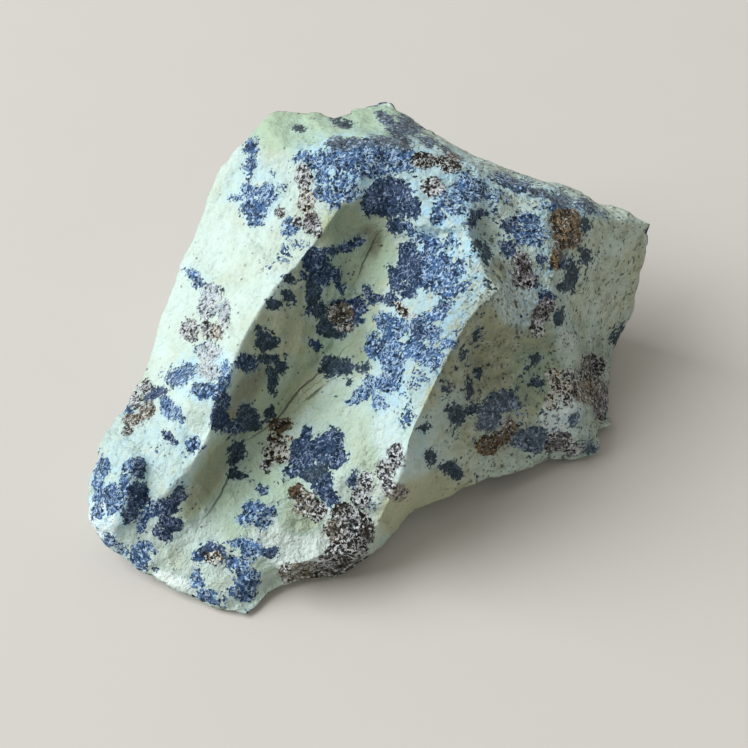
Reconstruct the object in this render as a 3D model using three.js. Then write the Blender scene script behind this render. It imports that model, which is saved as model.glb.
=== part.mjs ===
// A hand-sized piece of raw serpentine, broken from the rock on every side.
//
// The stone is one solid. It is described as a stonemason would measure it up: from one sighting
// point, looking down at the table along a tilted line. Each corner of the sighted side is given by
// how far right and how far up it stands on the sight plane through the stone's middle, and by its
// height over the table. The rim is the outline seen from there. A front skin spans the rim through
// the ridges, the valley and the broken faces, and a hidden skin spans it through the walls behind
// and the flat foot. Both are cut finer, eased between the ridges and given a fracture's relief.
//
// Millimetres and degrees. +Z is up, +X runs along the stone, and the origin is on the table, in the
// middle of the stone's box.
import * as THREE from 'three';
import { ImprovedNoise } from 'three/addons/math/ImprovedNoise.js';

const SIGHT_TILT = 50; // the sight line looks down this steeply
const SIGHT_RANGE = 117; // from the sighting point to the sight plane
const MIDDLE_HEIGHT = 9; // of the point that the sight line meets, over the table
const LENGTHWISE_TURN = 31.5; // from the sighting's right to the stone's length, about Z
const HIDDEN_SIGHT = new THREE.Vector3(-0.45, 0.6, -0.66); // out of the middle of the hidden side

const LONGEST_EDGE = 1.5; // of the finished front skin's triangles
const LONGEST_HIDDEN_EDGE = 2.4; // of those on the walls behind
const LONGEST_FOOT_EDGE = 5; // of those on the flat foot
const EASING_PASSES = 3; // smoothing that keeps the ridges sharp
const EASING = 0.5;
const SHARPEST_BEND = 50; // a ridge that bends by more than this keeps its corner

// The relief: waves of the fracture, each with its length and its height.
const WAVES = [
  { length: 7.5, height: 0.5 },
  { length: 3.4, height: 0.28 },
  { length: 1.7, height: 0.14 },
];
const STEP_LENGTH = 5; // spacing of the waves that break into small ledges
const STEP_LEVELS = 5;
const STEP_HEIGHT = 0.6;

// Corners as [right, up, height].
const rim = {
  leftBrink: [
    [-24.0, -10.9, 4], [-23.7, -8.9, 5], [-23.1, -7.2, 5.5], [-22.6, -5.5, 5.5], [-21.6, -3.4, 5.5],
    [-20.6, -2.0, 5.5], [-19.1, -0.1, 5.5], [-18.6, 2.0, 6.5], [-17.9, 4.1, 8], [-16.8, 7.0, 9.5],
    [-15.8, 9.5, 11], [-14.5, 13.3, 13], [-13.3, 15.8, 14.5], [-12.0, 18.1, 16], [-10.9, 19.6, 17],
  ],
  shelfBack: [
    [-9.9, 20.3, 17.5], [-9.4, 21.8, 18], [-7.6, 22.4, 18], [-5.7, 21.9, 18], [-3.3, 21.4, 18.5],
    [-0.8, 22.1, 18], [1.2, 22.6, 18], [2.8, 21.8, 18], [4.7, 20.1, 17.5],
  ],
  backBrink: [
    [8.0, 18.5, 17], [10.5, 17.5, 16], [13.0, 16.6, 15.5], [15.5, 15.5, 15], [18.9, 14.3, 14],
    [23.1, 12.5, 13],
  ],
  rightEnd: [
    [22.6, 9.4, 9], [22.0, 6.4, 5], [20.9, 3.8, 1.8], [19.6, 1.8, 1.2], [19.5, -0.9, 0.6],
    [19.6, -3.4, 0.6], [20.0, -4.3, 1], [18.9, -4.8, 1], [18.9, -6.5, 0.6],
  ],
  frontFoot: [
    [17.0, -7.5, 0.3], [15.5, -7.5, 0.6], [13.9, -7.2, 2], [11.4, -7.9, 2.5], [9.7, -9.2, 3],
    [7.2, -9.9, 3], [5.9, -10.3, 3], [3.8, -11.2, 3], [2.2, -12.3, 2.5], [0.9, -13.9, 1.5],
    [0.0, -15.1, 1], [-2.0, -16.7, 0.6], [-4.1, -17.6, 0.3], [-7.6, -17.7, 0.5], [-9.1, -19.1, 0.5],
    [-10.7, -20.2, 0.3],
  ],
  noseFoot: [
    [-12.5, -19.7, 0.5], [-14.5, -19.1, 0.5], [-16.4, -18.2, 1], [-18.3, -17.0, 1],
    [-20.4, -16.1, 1.5], [-22.5, -14.7, 2], [-23.6, -13.0, 3],
  ],
};

// Ridges stay sharp, and each runs through its corners in order.
const ridges = {
  topEdge: [
    [-9.4, 19.6, 17.8], [-7.8, 19.1, 19.2], [-6.2, 18.6, 20.6], [-4.5, 18.6, 21.4], [-3.3, 19.4, 22],
    [-1.6, 19.8, 22.4], [0.9, 19.6, 22.5], [3.0, 18.8, 22.5], [5.3, 18.6, 22], [7.4, 17.9, 21.4],
    [8.9, 17.2, 20.8], [10.5, 16.5, 20.0], [12.2, 15.9, 19.4], [13.9, 15.2, 18.8], [15.4, 14.6, 18.1],
    [16.8, 14.1, 17.3], [19.1, 13.3, 15.6],
  ],
  leftRidge: [
    [-2.8, 14.0, 19.6], [-4.5, 11.5, 18.5], [-6.2, 9.5, 17.5], [-8.0, 7.6, 16.5], [-9.4, 5.8, 16],
    [-10.5, 3.7, 15], [-11.5, 1.8, 14.5], [-12.2, -0.3, 13.6], [-13.0, -2.3, 12.6], [-13.5, -4.5, 11.2],
    [-13.8, -5.4, 10.5], [-14.4, -6.4, 9.8], [-15.6, -8.0, 9], [-17.5, -10.0, 7.6],
  ],
  noseStep: [
    [-20.1, -7.0, 7.7], [-20.3, -8.9, 7.1], [-20.6, -10.5, 6.3], [-21.1, -12.0, 5.3],
  ],
  middleRidge: [
    [8.0, 13.5, 20.4], [7.7, 11.9, 19.9], [8.4, 9.9, 19.4], [9.4, 8.3, 19.0], [10.3, 7.0, 18.6], [8.9, 5.8, 18.2],
    [7.7, 4.3, 17.8], [6.4, 1.8, 17], [5.3, -0.3, 16], [4.0, -3.0, 14.5], [2.8, -5.7, 13],
    [2.5, -8.0, 11.5], [1.5, -10.5, 9], [0.3, -12.7, 6],
  ],
  rightRidge: [
    [14.6, 14.1, 18.9], [14.7, 10.4, 17.2], [14.6, 7.5, 15.2], [15.2, 4.1, 12.5], [16.7, 2.2, 9.5],
    [17.0, 0.8, 8],
  ],
  chunkEdge: [
    [-7.5, -16.5, 3.6], [-6.2, -15.9, 4.4], [-4.5, -15.0, 5.4], [-2.4, -15.2, 5], [-0.8, -14.8, 4.2],
  ],
};

// Single corners of the front: hollows and faces between the ridges.
const faces = {
  notch: [
    [-14.7, -2.5, 12.4], [-14.5, -4.3, 10.4], [-14.1, -5.5, 9.6],
  ],
  noseStepFoot: [
    [-18.9, -7.4, 6.9], [-18.9, -9.0, 5.6], [-19.2, -10.9, 4.8], [-19.9, -12.4, 4.3],
  ],
  noseHollow: [
    [-18.7, -12.9, 4.2], [-17.2, -14.5, 3.6], [-16.0, -11.2, 5.4], [-17.9, -10.5, 5.6],
  ],
  saddle: [
    [-18.1, -6.4, 7.9], [-16.9, -4.7, 9.3], [-16.2, -6.5, 8.6],
  ],
  valley: [
    [-0.5, 9.4, 14.6], [-2.0, 6.2, 12.2], [-3.3, 2.4, 9.9], [-6.2, -0.9, 7.9], [-7.9, -3.4, 7.0],
    [-10.4, -6.4, 6.2], [-12.5, -8.9, 5.5], [-14.1, -11.8, 4.4], [-16.2, -14.3, 3.2],
  ],
  bowl: [
    [-1.0, 12.7, 17.4], [1.2, 11.9, 16.2], [-2.4, 12.2, 17.0],
  ],
  innerSlope: [
    [2.2, 11.2, 16.6], [2.2, 6.2, 14.5], [0.5, 1.2, 12.4], [-2.0, -3.8, 10.0], [-4.5, -8.0, 8.2],
    [-6.2, -12.2, 6], [1.3, -5.5, 12],
  ],
  pit: [
    [-0.2, 15.2, 20.2], [1.3, 16.0, 20.6], [3.0, 15.6, 20.9], [0.9, 14.0, 18.6], [2.3, 13.9, 18.8],
    [3.7, 13.3, 20.2],
  ],
  brow: [
    [-1.8, 16.0, 20.9], [0.9, 17.5, 21.6], [4.7, 15.4, 20.9],
  ],
  recess: [
    [9.2, 13.8, 20.1], [10.3, 13.5, 19.7], [8.5, 12.7, 18.9], [9.5, 12.6, 18.5], [10.4, 12.4, 18.4],
    [10.1, 10.6, 17.4], [11.0, 8.6, 16.5], [11.5, 6.2, 15.2],
  ],
  rib: [
    [11.4, 12.7, 18.7], [11.9, 10.4, 17.6], [12.5, 8.3, 16.2], [13.5, 11.6, 18.2],
  ],
  frontFace: [
    [12.2, 4.3, 14], [8.9, 0.5, 11.6], [13.9, 2.4, 10.8], [6.5, -5.5, 8.5], [11.8, -3.0, 7.6],
    [5.5, -8.7, 6], [10.5, -5.5, 5.2],
  ],
  lowCheek: [
    [14.7, -1.7, 7.6], [16.6, -1.5, 7.3], [17.1, -3.9, 6.2], [14.6, -4.4, 5.0], [15.6, -6.1, 3.4],
  ],
  endFace: [
    [18.9, 8.7, 12], [18.9, 4.5, 7],
  ],
  lowShelf: [
    [-10.4, -12.2, 5], [-6.2, -14.5, 4.6], [-13.3, -16.4, 3], [-9.4, -16.0, 3.4],
  ],
};

// The hidden side, as [right, away, height] from under the stone's middle: the edge of the flat
// foot in order, the ridges between the walls, and single corners of the walls.
const foot = [
  [-20.4, -9.2, 0], [-20.6, -4.4, 0], [-18.0, 2.4, 0], [-16.2, 8.8, 0], [-13.2, 14.6, 0],
  [-9.8, 19.2, 0], [-4.0, 20.6, 0], [1.5, 20.8, 0], [5.5, 18.8, 0], [11.0, 16.6, 0],
  [16.0, 14.2, 0], [19.4, 11.6, 0], [19.5, 8.6, 0], [19.1, 4.2, 0], [17.6, 1.0, 0],
  [15.2, 0.0, 0], [11.6, 0.4, 0], [6.8, -1.4, 0], [3.6, -4.4, 0], [1.8, -6.2, 0], [0.0, -8.2, 0], [-2.0, -10.4, 0],
  [-6.0, -12.4, 0], [-8.2, -13.8, 0], [-10.6, -15.0, 0], [-14.2, -13.8, 0], [-17.8, -11.6, 0],
];
const wallRidges = {
  leftCorner: [[-11.6, 20.6, 14], [-11.2, 20.4, 10.5], [-11.4, 20.2, 7], [-10.4, 19.8, 3]],
  backCorner: [[3.4, 22.6, 14], [4.4, 21.6, 9.5], [4.0, 20.9, 4.5]],
};
const walls = {
  left: [
    [-22.4, -8.4, 2.0], [-22.0, -4.0, 2.4], [-20.0, 1.0, 2.6], [-18.4, 4.6, 3.4], [-17.8, 7.4, 5.2],
    [-16.2, 11.2, 7.6], [-15.8, 10.0, 3.0], [-14.6, 14.6, 9.0], [-13.6, 16.2, 4.2],
    [-13.2, 17.8, 11.0],
  ],
  back: [
    [-8.8, 23.0, 13.5], [-7.6, 22.4, 8.4], [-5.0, 22.8, 14.2], [-3.4, 22.0, 10.4], [-5.4, 21.6, 4.2],
    [-0.6, 22.8, 13.0], [0.8, 22.4, 7.2],
  ],
  right: [
    [7.6, 19.2, 11.6], [9.4, 18.6, 6.2], [12.8, 17.4, 10.8], [15.0, 16.2, 5.2], [18.4, 15.4, 9.0],
    [20.8, 13.8, 4.4],
  ],
};

// The place of a sighted corner, with the sighting point in front of the stone (-Y).
function placed([right, up, height]) {
  const tilt = THREE.MathUtils.degToRad(SIGHT_TILT);
  const across = right / SIGHT_RANGE;
  const rise = up / SIGHT_RANGE;
  const lift = height - MIDDLE_HEIGHT;
  const away =
    (rise * SIGHT_RANGE - lift * (rise * Math.sin(tilt) + Math.cos(tilt))) /
    (Math.sin(tilt) - rise * Math.cos(tilt));
  const range = SIGHT_RANGE + away * Math.cos(tilt) - lift * Math.sin(tilt);
  return new THREE.Vector3(across * range, away, height);
}

// Delaunay triangles over points on the sight plane, counter-clockwise.
function spanned(points) {
  const far = 1e3;
  const all = [...points, [-far, -far], [far, -far], [0, far]];
  const n = points.length;
  let triangles = [[n, n + 1, n + 2]];
  const cross = (a, b, c) =>
    (all[b][0] - all[a][0]) * (all[c][1] - all[a][1]) -
    (all[b][1] - all[a][1]) * (all[c][0] - all[a][0]);
  const holds = ([a, b, c], p) => {
    const [ax, ay, bx, by, cx, cy] = [a, b, c].flatMap((i) => [
      all[i][0] - all[p][0],
      all[i][1] - all[p][1],
    ]);
    const lifted =
      (ax * ax + ay * ay) * (bx * cy - cx * by) -
      (bx * bx + by * by) * (ax * cy - cx * ay) +
      (cx * cx + cy * cy) * (ax * by - bx * ay);
    return lifted > 0;
  };
  for (let p = 0; p < n; p++) {
    const hit = triangles.filter((t) => holds(t, p));
    const border = new Map();
    for (const t of hit) {
      t.forEach((a, i) => {
        const b = t[(i + 1) % 3];
        if (!border.delete(`${b} ${a}`)) border.set(`${a} ${b}`, [a, b]);
      });
    }
    triangles = triangles.filter((t) => !hit.includes(t));
    for (const [a, b] of border.values()) {
      if (cross(a, b, p) !== 0) triangles.push([a, b, p]);
    }
  }
  return triangles.filter((t) => t.every((i) => i < n));
}

// Whether a point of the sight plane is inside a closed outline.
function isInside(outline, x, y) {
  let inside = false;
  outline.forEach(([ax, ay], i) => {
    const [bx, by] = outline[(i + 1) % outline.length];
    if (ay > y !== by > y && x < ((bx - ax) * (y - ay)) / (by - ay) + ax) inside = !inside;
  });
  return inside;
}

// One skin: triangles over the rim and its inner corners, kept where they are inside the rim.
function skin(outline, inner) {
  const points = [...outline, ...inner];
  return spanned(points).filter((t) => {
    const x = (points[t[0]][0] + points[t[1]][0] + points[t[2]][0]) / 3;
    const y = (points[t[0]][1] + points[t[1]][1] + points[t[2]][1]) / 3;
    return isInside(outline, x, y);
  });
}

// Where points stand on the plane across the hidden side's sight line.
function fromBehind(points) {
  const right = new THREE.Vector3(0, 0, 1).cross(HIDDEN_SIGHT).normalize();
  const up = HIDDEN_SIGHT.clone().cross(right).normalize();
  return points.map((p) => [p.dot(right), p.dot(up)]);
}

const edgeName = (a, b) => (a < b ? `${a} ${b}` : `${b} ${a}`);

// The coarse stone: both skins joined at the rim, with the sharp edges by name.
function coarseStone() {
  const outline = Object.values(rim).flat();
  const front = [...Object.values(ridges), ...Object.values(faces)].flat();
  const hidden = [foot, ...Object.values(wallRidges), ...Object.values(walls)].flat();
  const rimPoints = outline.map(placed);
  const hiddenPoints = hidden.map((corner) => new THREE.Vector3(...corner));
  const points = [...rimPoints, ...front.map(placed), ...hiddenPoints];
  const hiddenIndex = (i) => (i < outline.length ? i : i + front.length);
  const behind = skin(fromBehind(rimPoints).reverse(), fromBehind(hiddenPoints));
  const unreversed = (i) => (i < outline.length ? outline.length - 1 - i : i);
  const triangles = [
    ...skin(outline, front),
    ...behind.map((t) => t.map((i) => hiddenIndex(unreversed(i)))),
  ];
  const sharp = new Set();
  const sharpen = (start, count, closed) => {
    for (let i = 0; i < (closed ? count : count - 1); i++) {
      sharp.add(edgeName(start + i, start + ((i + 1) % count)));
    }
  };
  sharpen(0, outline.length, true);
  let start = outline.length;
  for (const ridge of Object.values(ridges)) {
    sharpen(start, ridge.length, false);
    start += ridge.length;
  }
  start = outline.length + front.length;
  sharpen(start, foot.length, true);
  start += foot.length;
  for (const ridge of Object.values(wallRidges)) {
    sharpen(start, ridge.length, false);
    start += ridge.length;
  }
  return { points, triangles, sharp };
}

// The longest edge that a triangle may have: the flat foot and the hidden walls are cut coarser.
function longestEdge([a, b, c]) {
  if (a.z === 0 && b.z === 0 && c.z === 0) return LONGEST_FOOT_EDGE;
  const outward = new THREE.Triangle(a, b, c).getNormal(new THREE.Vector3());
  return outward.dot(HIDDEN_SIGHT) > 0 ? LONGEST_HIDDEN_EDGE : LONGEST_EDGE;
}

// Cuts every edge longer than its limit in two, until none is left.
function refine({ points, triangles, sharp }) {
  for (let cut = true; cut; ) {
    cut = false;
    const middles = new Map();
    for (const t of triangles) {
      const longest = longestEdge(t.map((i) => points[i]));
      t.forEach((a, i) => {
        const b = t[(i + 1) % 3];
        const name = edgeName(a, b);
        if (points[a].distanceTo(points[b]) <= longest || middles.has(name)) return;
        const halfway = points.push(points[a].clone().lerp(points[b], 0.5)) - 1;
        middles.set(name, halfway);
        if (sharp.has(name)) sharp.add(edgeName(a, halfway)).add(edgeName(halfway, b));
        cut = true;
      });
    }
    const middle = (a, b) => middles.get(edgeName(a, b));
    triangles = triangles.flatMap(([a, b, c]) => {
      const [ab, bc, ca] = [middle(a, b), middle(b, c), middle(c, a)];
      const count = [ab, bc, ca].filter((m) => m !== undefined).length;
      if (count === 0) return [[a, b, c]];
      if (count === 3) return [[a, ab, ca], [ab, b, bc], [ca, bc, c], [ab, bc, ca]];
      // Turned so that the first edge is cut, and with two cuts the last one is whole.
      let [p, q, r, pq, qr] = [a, b, c, ab, bc];
      if (count === 1 ? ab === undefined : ca !== undefined) {
        const second = count === 1 ? bc !== undefined : ab === undefined;
        [p, q, r, pq, qr] = second ? [b, c, a, bc, ca] : [c, a, b, ca, ab];
      }
      if (count === 1) return [[p, pq, r], [pq, q, r]];
      const fromP = points[p].distanceTo(points[qr]) < points[pq].distanceTo(points[r]);
      return fromP
        ? [[pq, q, qr], [p, pq, qr], [p, qr, r]]
        : [[pq, q, qr], [p, pq, r], [pq, qr, r]];
    });
  }
  return { points, triangles, sharp };
}

// Each corner's neighbours, over all edges or over the sharp ones alone.
function neighbours({ points, triangles, sharp }, onlySharp) {
  const around = points.map(() => new Set());
  for (const t of triangles) {
    t.forEach((a, i) => {
      const b = t[(i + 1) % 3];
      if (!onlySharp || sharp.has(edgeName(a, b))) {
        around[a].add(b);
        around[b].add(a);
      }
    });
  }
  return around;
}

// Whether a ridge bends sharply where it passes a corner.
function bends(p, [before, after]) {
  const bend = p.clone().sub(before).angleTo(after.clone().sub(p));
  return bend > THREE.MathUtils.degToRad(SHARPEST_BEND);
}

// Moves each corner towards the middle of its neighbours. On a ridge only the ridge counts, and a
// corner where ridges end, meet or bend sharply stays.
function ease(stone) {
  const all = neighbours(stone, false);
  const along = neighbours(stone, true);
  const stays = stone.points.map((p, i) => {
    if (along[i].size === 0) return false;
    return along[i].size !== 2 || bends(p, [...along[i]].map((j) => stone.points[j]));
  });
  for (let pass = 0; pass < EASING_PASSES; pass++) {
    stone.points = stone.points.map((p, i) => {
      if (stays[i]) return p;
      const around = [...(along[i].size > 0 ? along[i] : all[i])];
      const middle = new THREE.Vector3();
      around.forEach((j) => middle.add(stone.points[j]));
      return p.clone().lerp(middle.divideScalar(around.length), EASING);
    });
  }
}

// The outward direction at each corner.
function normals({ points, triangles }) {
  const found = points.map(() => new THREE.Vector3());
  for (const [a, b, c] of triangles) {
    const side = points[b].clone().sub(points[a]);
    side.cross(points[c].clone().sub(points[a]));
    [a, b, c].forEach((i) => found[i].add(side));
  }
  return found.map((n) => n.normalize());
}

// Raises and lowers the skin: rolling waves, and waves broken into ledges.
function roughen(stone, onFoot) {
  const noise = new ImprovedNoise();
  const wave = (p, length, shift) =>
    noise.noise(p.x / length + shift, p.y / length + shift, p.z / length - shift);
  const outward = normals(stone);
  stone.points.forEach((p, i) => {
    if (onFoot[i]) return;
    const at = p.clone();
    let rise = 0;
    WAVES.forEach(({ length, height }, k) => {
      rise += height * wave(at, length, 11.3 * (k + 1));
    });
    const level = wave(at, STEP_LENGTH, 71.7) * STEP_LEVELS;
    const nearest = Math.round(level);
    const broken = nearest + 4 * (level - nearest) ** 3;
    rise += (STEP_HEIGHT * (broken - level)) / 2;
    p.addScaledVector(outward[i], rise);
    p.z = Math.max(p.z, 0);
  });
}

function stoneGeometry() {
  const stone = refine(coarseStone());
  const onFoot = stone.points.map((p) => p.z === 0);
  ease(stone);
  stone.points.forEach((p, i) => {
    if (onFoot[i]) p.z = 0;
  });
  roughen(stone, onFoot);

  const geometry = new THREE.BufferGeometry().setFromPoints(stone.points);
  geometry.setIndex(stone.triangles.flat());
  geometry.rotateZ(-THREE.MathUtils.degToRad(LENGTHWISE_TURN));
  geometry.computeBoundingBox();
  const middle = geometry.boundingBox.getCenter(new THREE.Vector3());
  geometry.translate(-middle.x, -middle.y, -geometry.boundingBox.min.z);
  geometry.computeVertexNormals();
  return geometry;
}

const serpentine = new THREE.MeshStandardMaterial({
  color: 0xaebfa2,
  roughness: 0.7,
  metalness: 0,
});

const stone = new THREE.Mesh(stoneGeometry(), serpentine);
stone.name = 'stone';

const group = new THREE.Group();
group.add(stone);

export default group;
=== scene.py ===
"""Raw serpentine: a broken lump with a blue mineral and metal-bright ore grown into its face.

Lengths in the classes and tables are millimetres and angles are degrees. The meshes are metres.
The face is laid out on the sighting plane, which is square to the line of sight and passes
through its target. Places on it are right and up of the target.
"""

import logging
import math
from collections.abc import Callable, Iterable
from dataclasses import dataclass, field
from enum import Enum

import bpy
import numpy as np
from mathutils import Matrix, Vector, noise


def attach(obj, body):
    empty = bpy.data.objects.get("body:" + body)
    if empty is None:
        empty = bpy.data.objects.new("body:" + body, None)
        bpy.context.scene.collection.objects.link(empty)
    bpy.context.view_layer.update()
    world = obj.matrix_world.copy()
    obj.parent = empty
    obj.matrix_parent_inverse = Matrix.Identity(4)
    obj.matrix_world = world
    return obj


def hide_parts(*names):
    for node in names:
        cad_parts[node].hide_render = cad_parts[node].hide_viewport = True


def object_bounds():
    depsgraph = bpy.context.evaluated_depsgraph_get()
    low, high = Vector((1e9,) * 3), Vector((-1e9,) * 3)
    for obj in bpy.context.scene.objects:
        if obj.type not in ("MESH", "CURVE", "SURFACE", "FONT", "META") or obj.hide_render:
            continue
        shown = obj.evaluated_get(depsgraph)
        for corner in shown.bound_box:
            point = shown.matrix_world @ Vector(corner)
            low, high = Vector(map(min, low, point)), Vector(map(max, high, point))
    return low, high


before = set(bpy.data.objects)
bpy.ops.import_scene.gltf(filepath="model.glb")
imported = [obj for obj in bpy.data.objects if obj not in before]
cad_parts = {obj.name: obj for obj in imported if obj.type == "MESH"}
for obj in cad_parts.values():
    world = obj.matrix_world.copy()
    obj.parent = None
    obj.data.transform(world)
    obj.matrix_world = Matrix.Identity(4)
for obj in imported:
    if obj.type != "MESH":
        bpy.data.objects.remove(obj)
CAD_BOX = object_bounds()

LOG = logging.getLogger("raw_serpentine")
MM = 0.001

# How much of a chip's size the step to the next one takes.
CHIP_JOINT = 0.3
# The greatest distance from a patch or a crack that is told apart.
FAR = 3.0
# How far one mineral's tone runs into the next one's.
BLEND_REACH = 0.18
# How far inside its outline a zone begins and is whole, in shares of its size.
ZONE_RIM = (-0.35, 0.25)
# How far from its line a crack has faded, and how far it is whole.
CRACK_SIDES = (1.3, 0.8)

Colour = tuple[float, float, float]
Plane = tuple[float, float]
Span = tuple[float, float]
Numbers = tuple[float, ...]
Rows = tuple[Numbers, ...]
Socket = bpy.types.NodeSocket


def eased(low: float, high: float, values: np.ndarray) -> np.ndarray:
    """Rises smoothly from 0 at one value to 1 at another.

    Args:
        low: where the rise begins.
        high: where it ends; below low the result falls instead.
        values: what is measured.

    Returns:
        The share for each value, from 0 to 1.
    """
    share = np.clip((values - low) / (high - low), 0.0, 1.0)
    return share * share * (3.0 - 2.0 * share)


def undulation(points: np.ndarray, length: float, seed: float) -> np.ndarray:
    """Measures smooth noise at each point.

    Args:
        points: places in millimetres.
        length: the size of one swell.
        seed: moves the noise, so that two uses differ.

    Returns:
        A value for each point, from about -1 to 1.
    """
    places = points / length + seed
    return np.array([noise.noise(Vector(place)) for place in places])


def layered(points: np.ndarray, layers: Rows) -> np.ndarray:
    """Adds up smooth noise, each layer given as its length, its seed and its weight."""
    return sum(undulation(points, length, seed) * weight for length, seed, weight in layers)


def chips(points: np.ndarray, length: float, seed: float) -> np.ndarray:
    """Measures flat chips, each leaning its own way, with small steps between them.

    Args:
        points: places in millimetres.
        length: the size of one chip.
        seed: moves the chips, so that two uses differ.

    Returns:
        A height for each point, from about -0.5 to 0.5 of the chips' size.
    """
    heights = []
    for place in points / length + seed:
        (near, next_near, *_), centres = noise.voronoi(Vector(place))
        share = min((next_near - near) / CHIP_JOINT, 1.0) * 0.5
        height = 0.0
        for centre, part in ((centres[0], 0.5 + share), (centres[1], 0.5 - share)):
            lean = noise.cell_vector(centre * 31.7) - Vector((0.5, 0.5, 0.5))
            height += part * (lean.dot(Vector(place) - centre) + (lean.x + lean.y) * 0.25)
        heights.append(height)
    return np.array(heights)


class Mineral(Enum):
    """What a patch on the face is made of."""

    COBALT = "cobalt"
    NAVY = "navy"
    SLATE = "slate"
    INK = "ink"
    DUST = "dust"
    BLACK = "black"
    BRONZE = "bronze"
    GOLD = "gold"
    SILVER = "silver"
    PINK = "pink"
    # Painted light: the silver ore on the lit left facet, made lighter and cooler.
    SILVER_PAINTED_LIT = "bright"
    RUST = "rust"


@dataclass(frozen=True)
class Ellipse:
    """A rounded area on the sighting plane."""

    right: float
    up: float
    half_width: float
    half_height: float
    turn: float = 0.0

    def inside(self, places: np.ndarray) -> np.ndarray:
        """Tells how far inside each place is.

        Args:
            places: right and up of each point on the sighting plane.

        Returns:
            1 at the centre, 0 on the rim and below zero outside it.
        """
        turn = math.radians(self.turn)
        away = places - (self.right, self.up)
        along = away[:, 0] * math.cos(turn) + away[:, 1] * math.sin(turn)
        across = away[:, 1] * math.cos(turn) - away[:, 0] * math.sin(turn)
        return 1.0 - np.hypot(along / self.half_width, across / self.half_height)

    def depth(self, places: np.ndarray) -> np.ndarray:
        """Gives the millimetres inside the rim, below zero outside it."""
        return self.inside(places) * math.sqrt(self.half_width * self.half_height)


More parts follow.
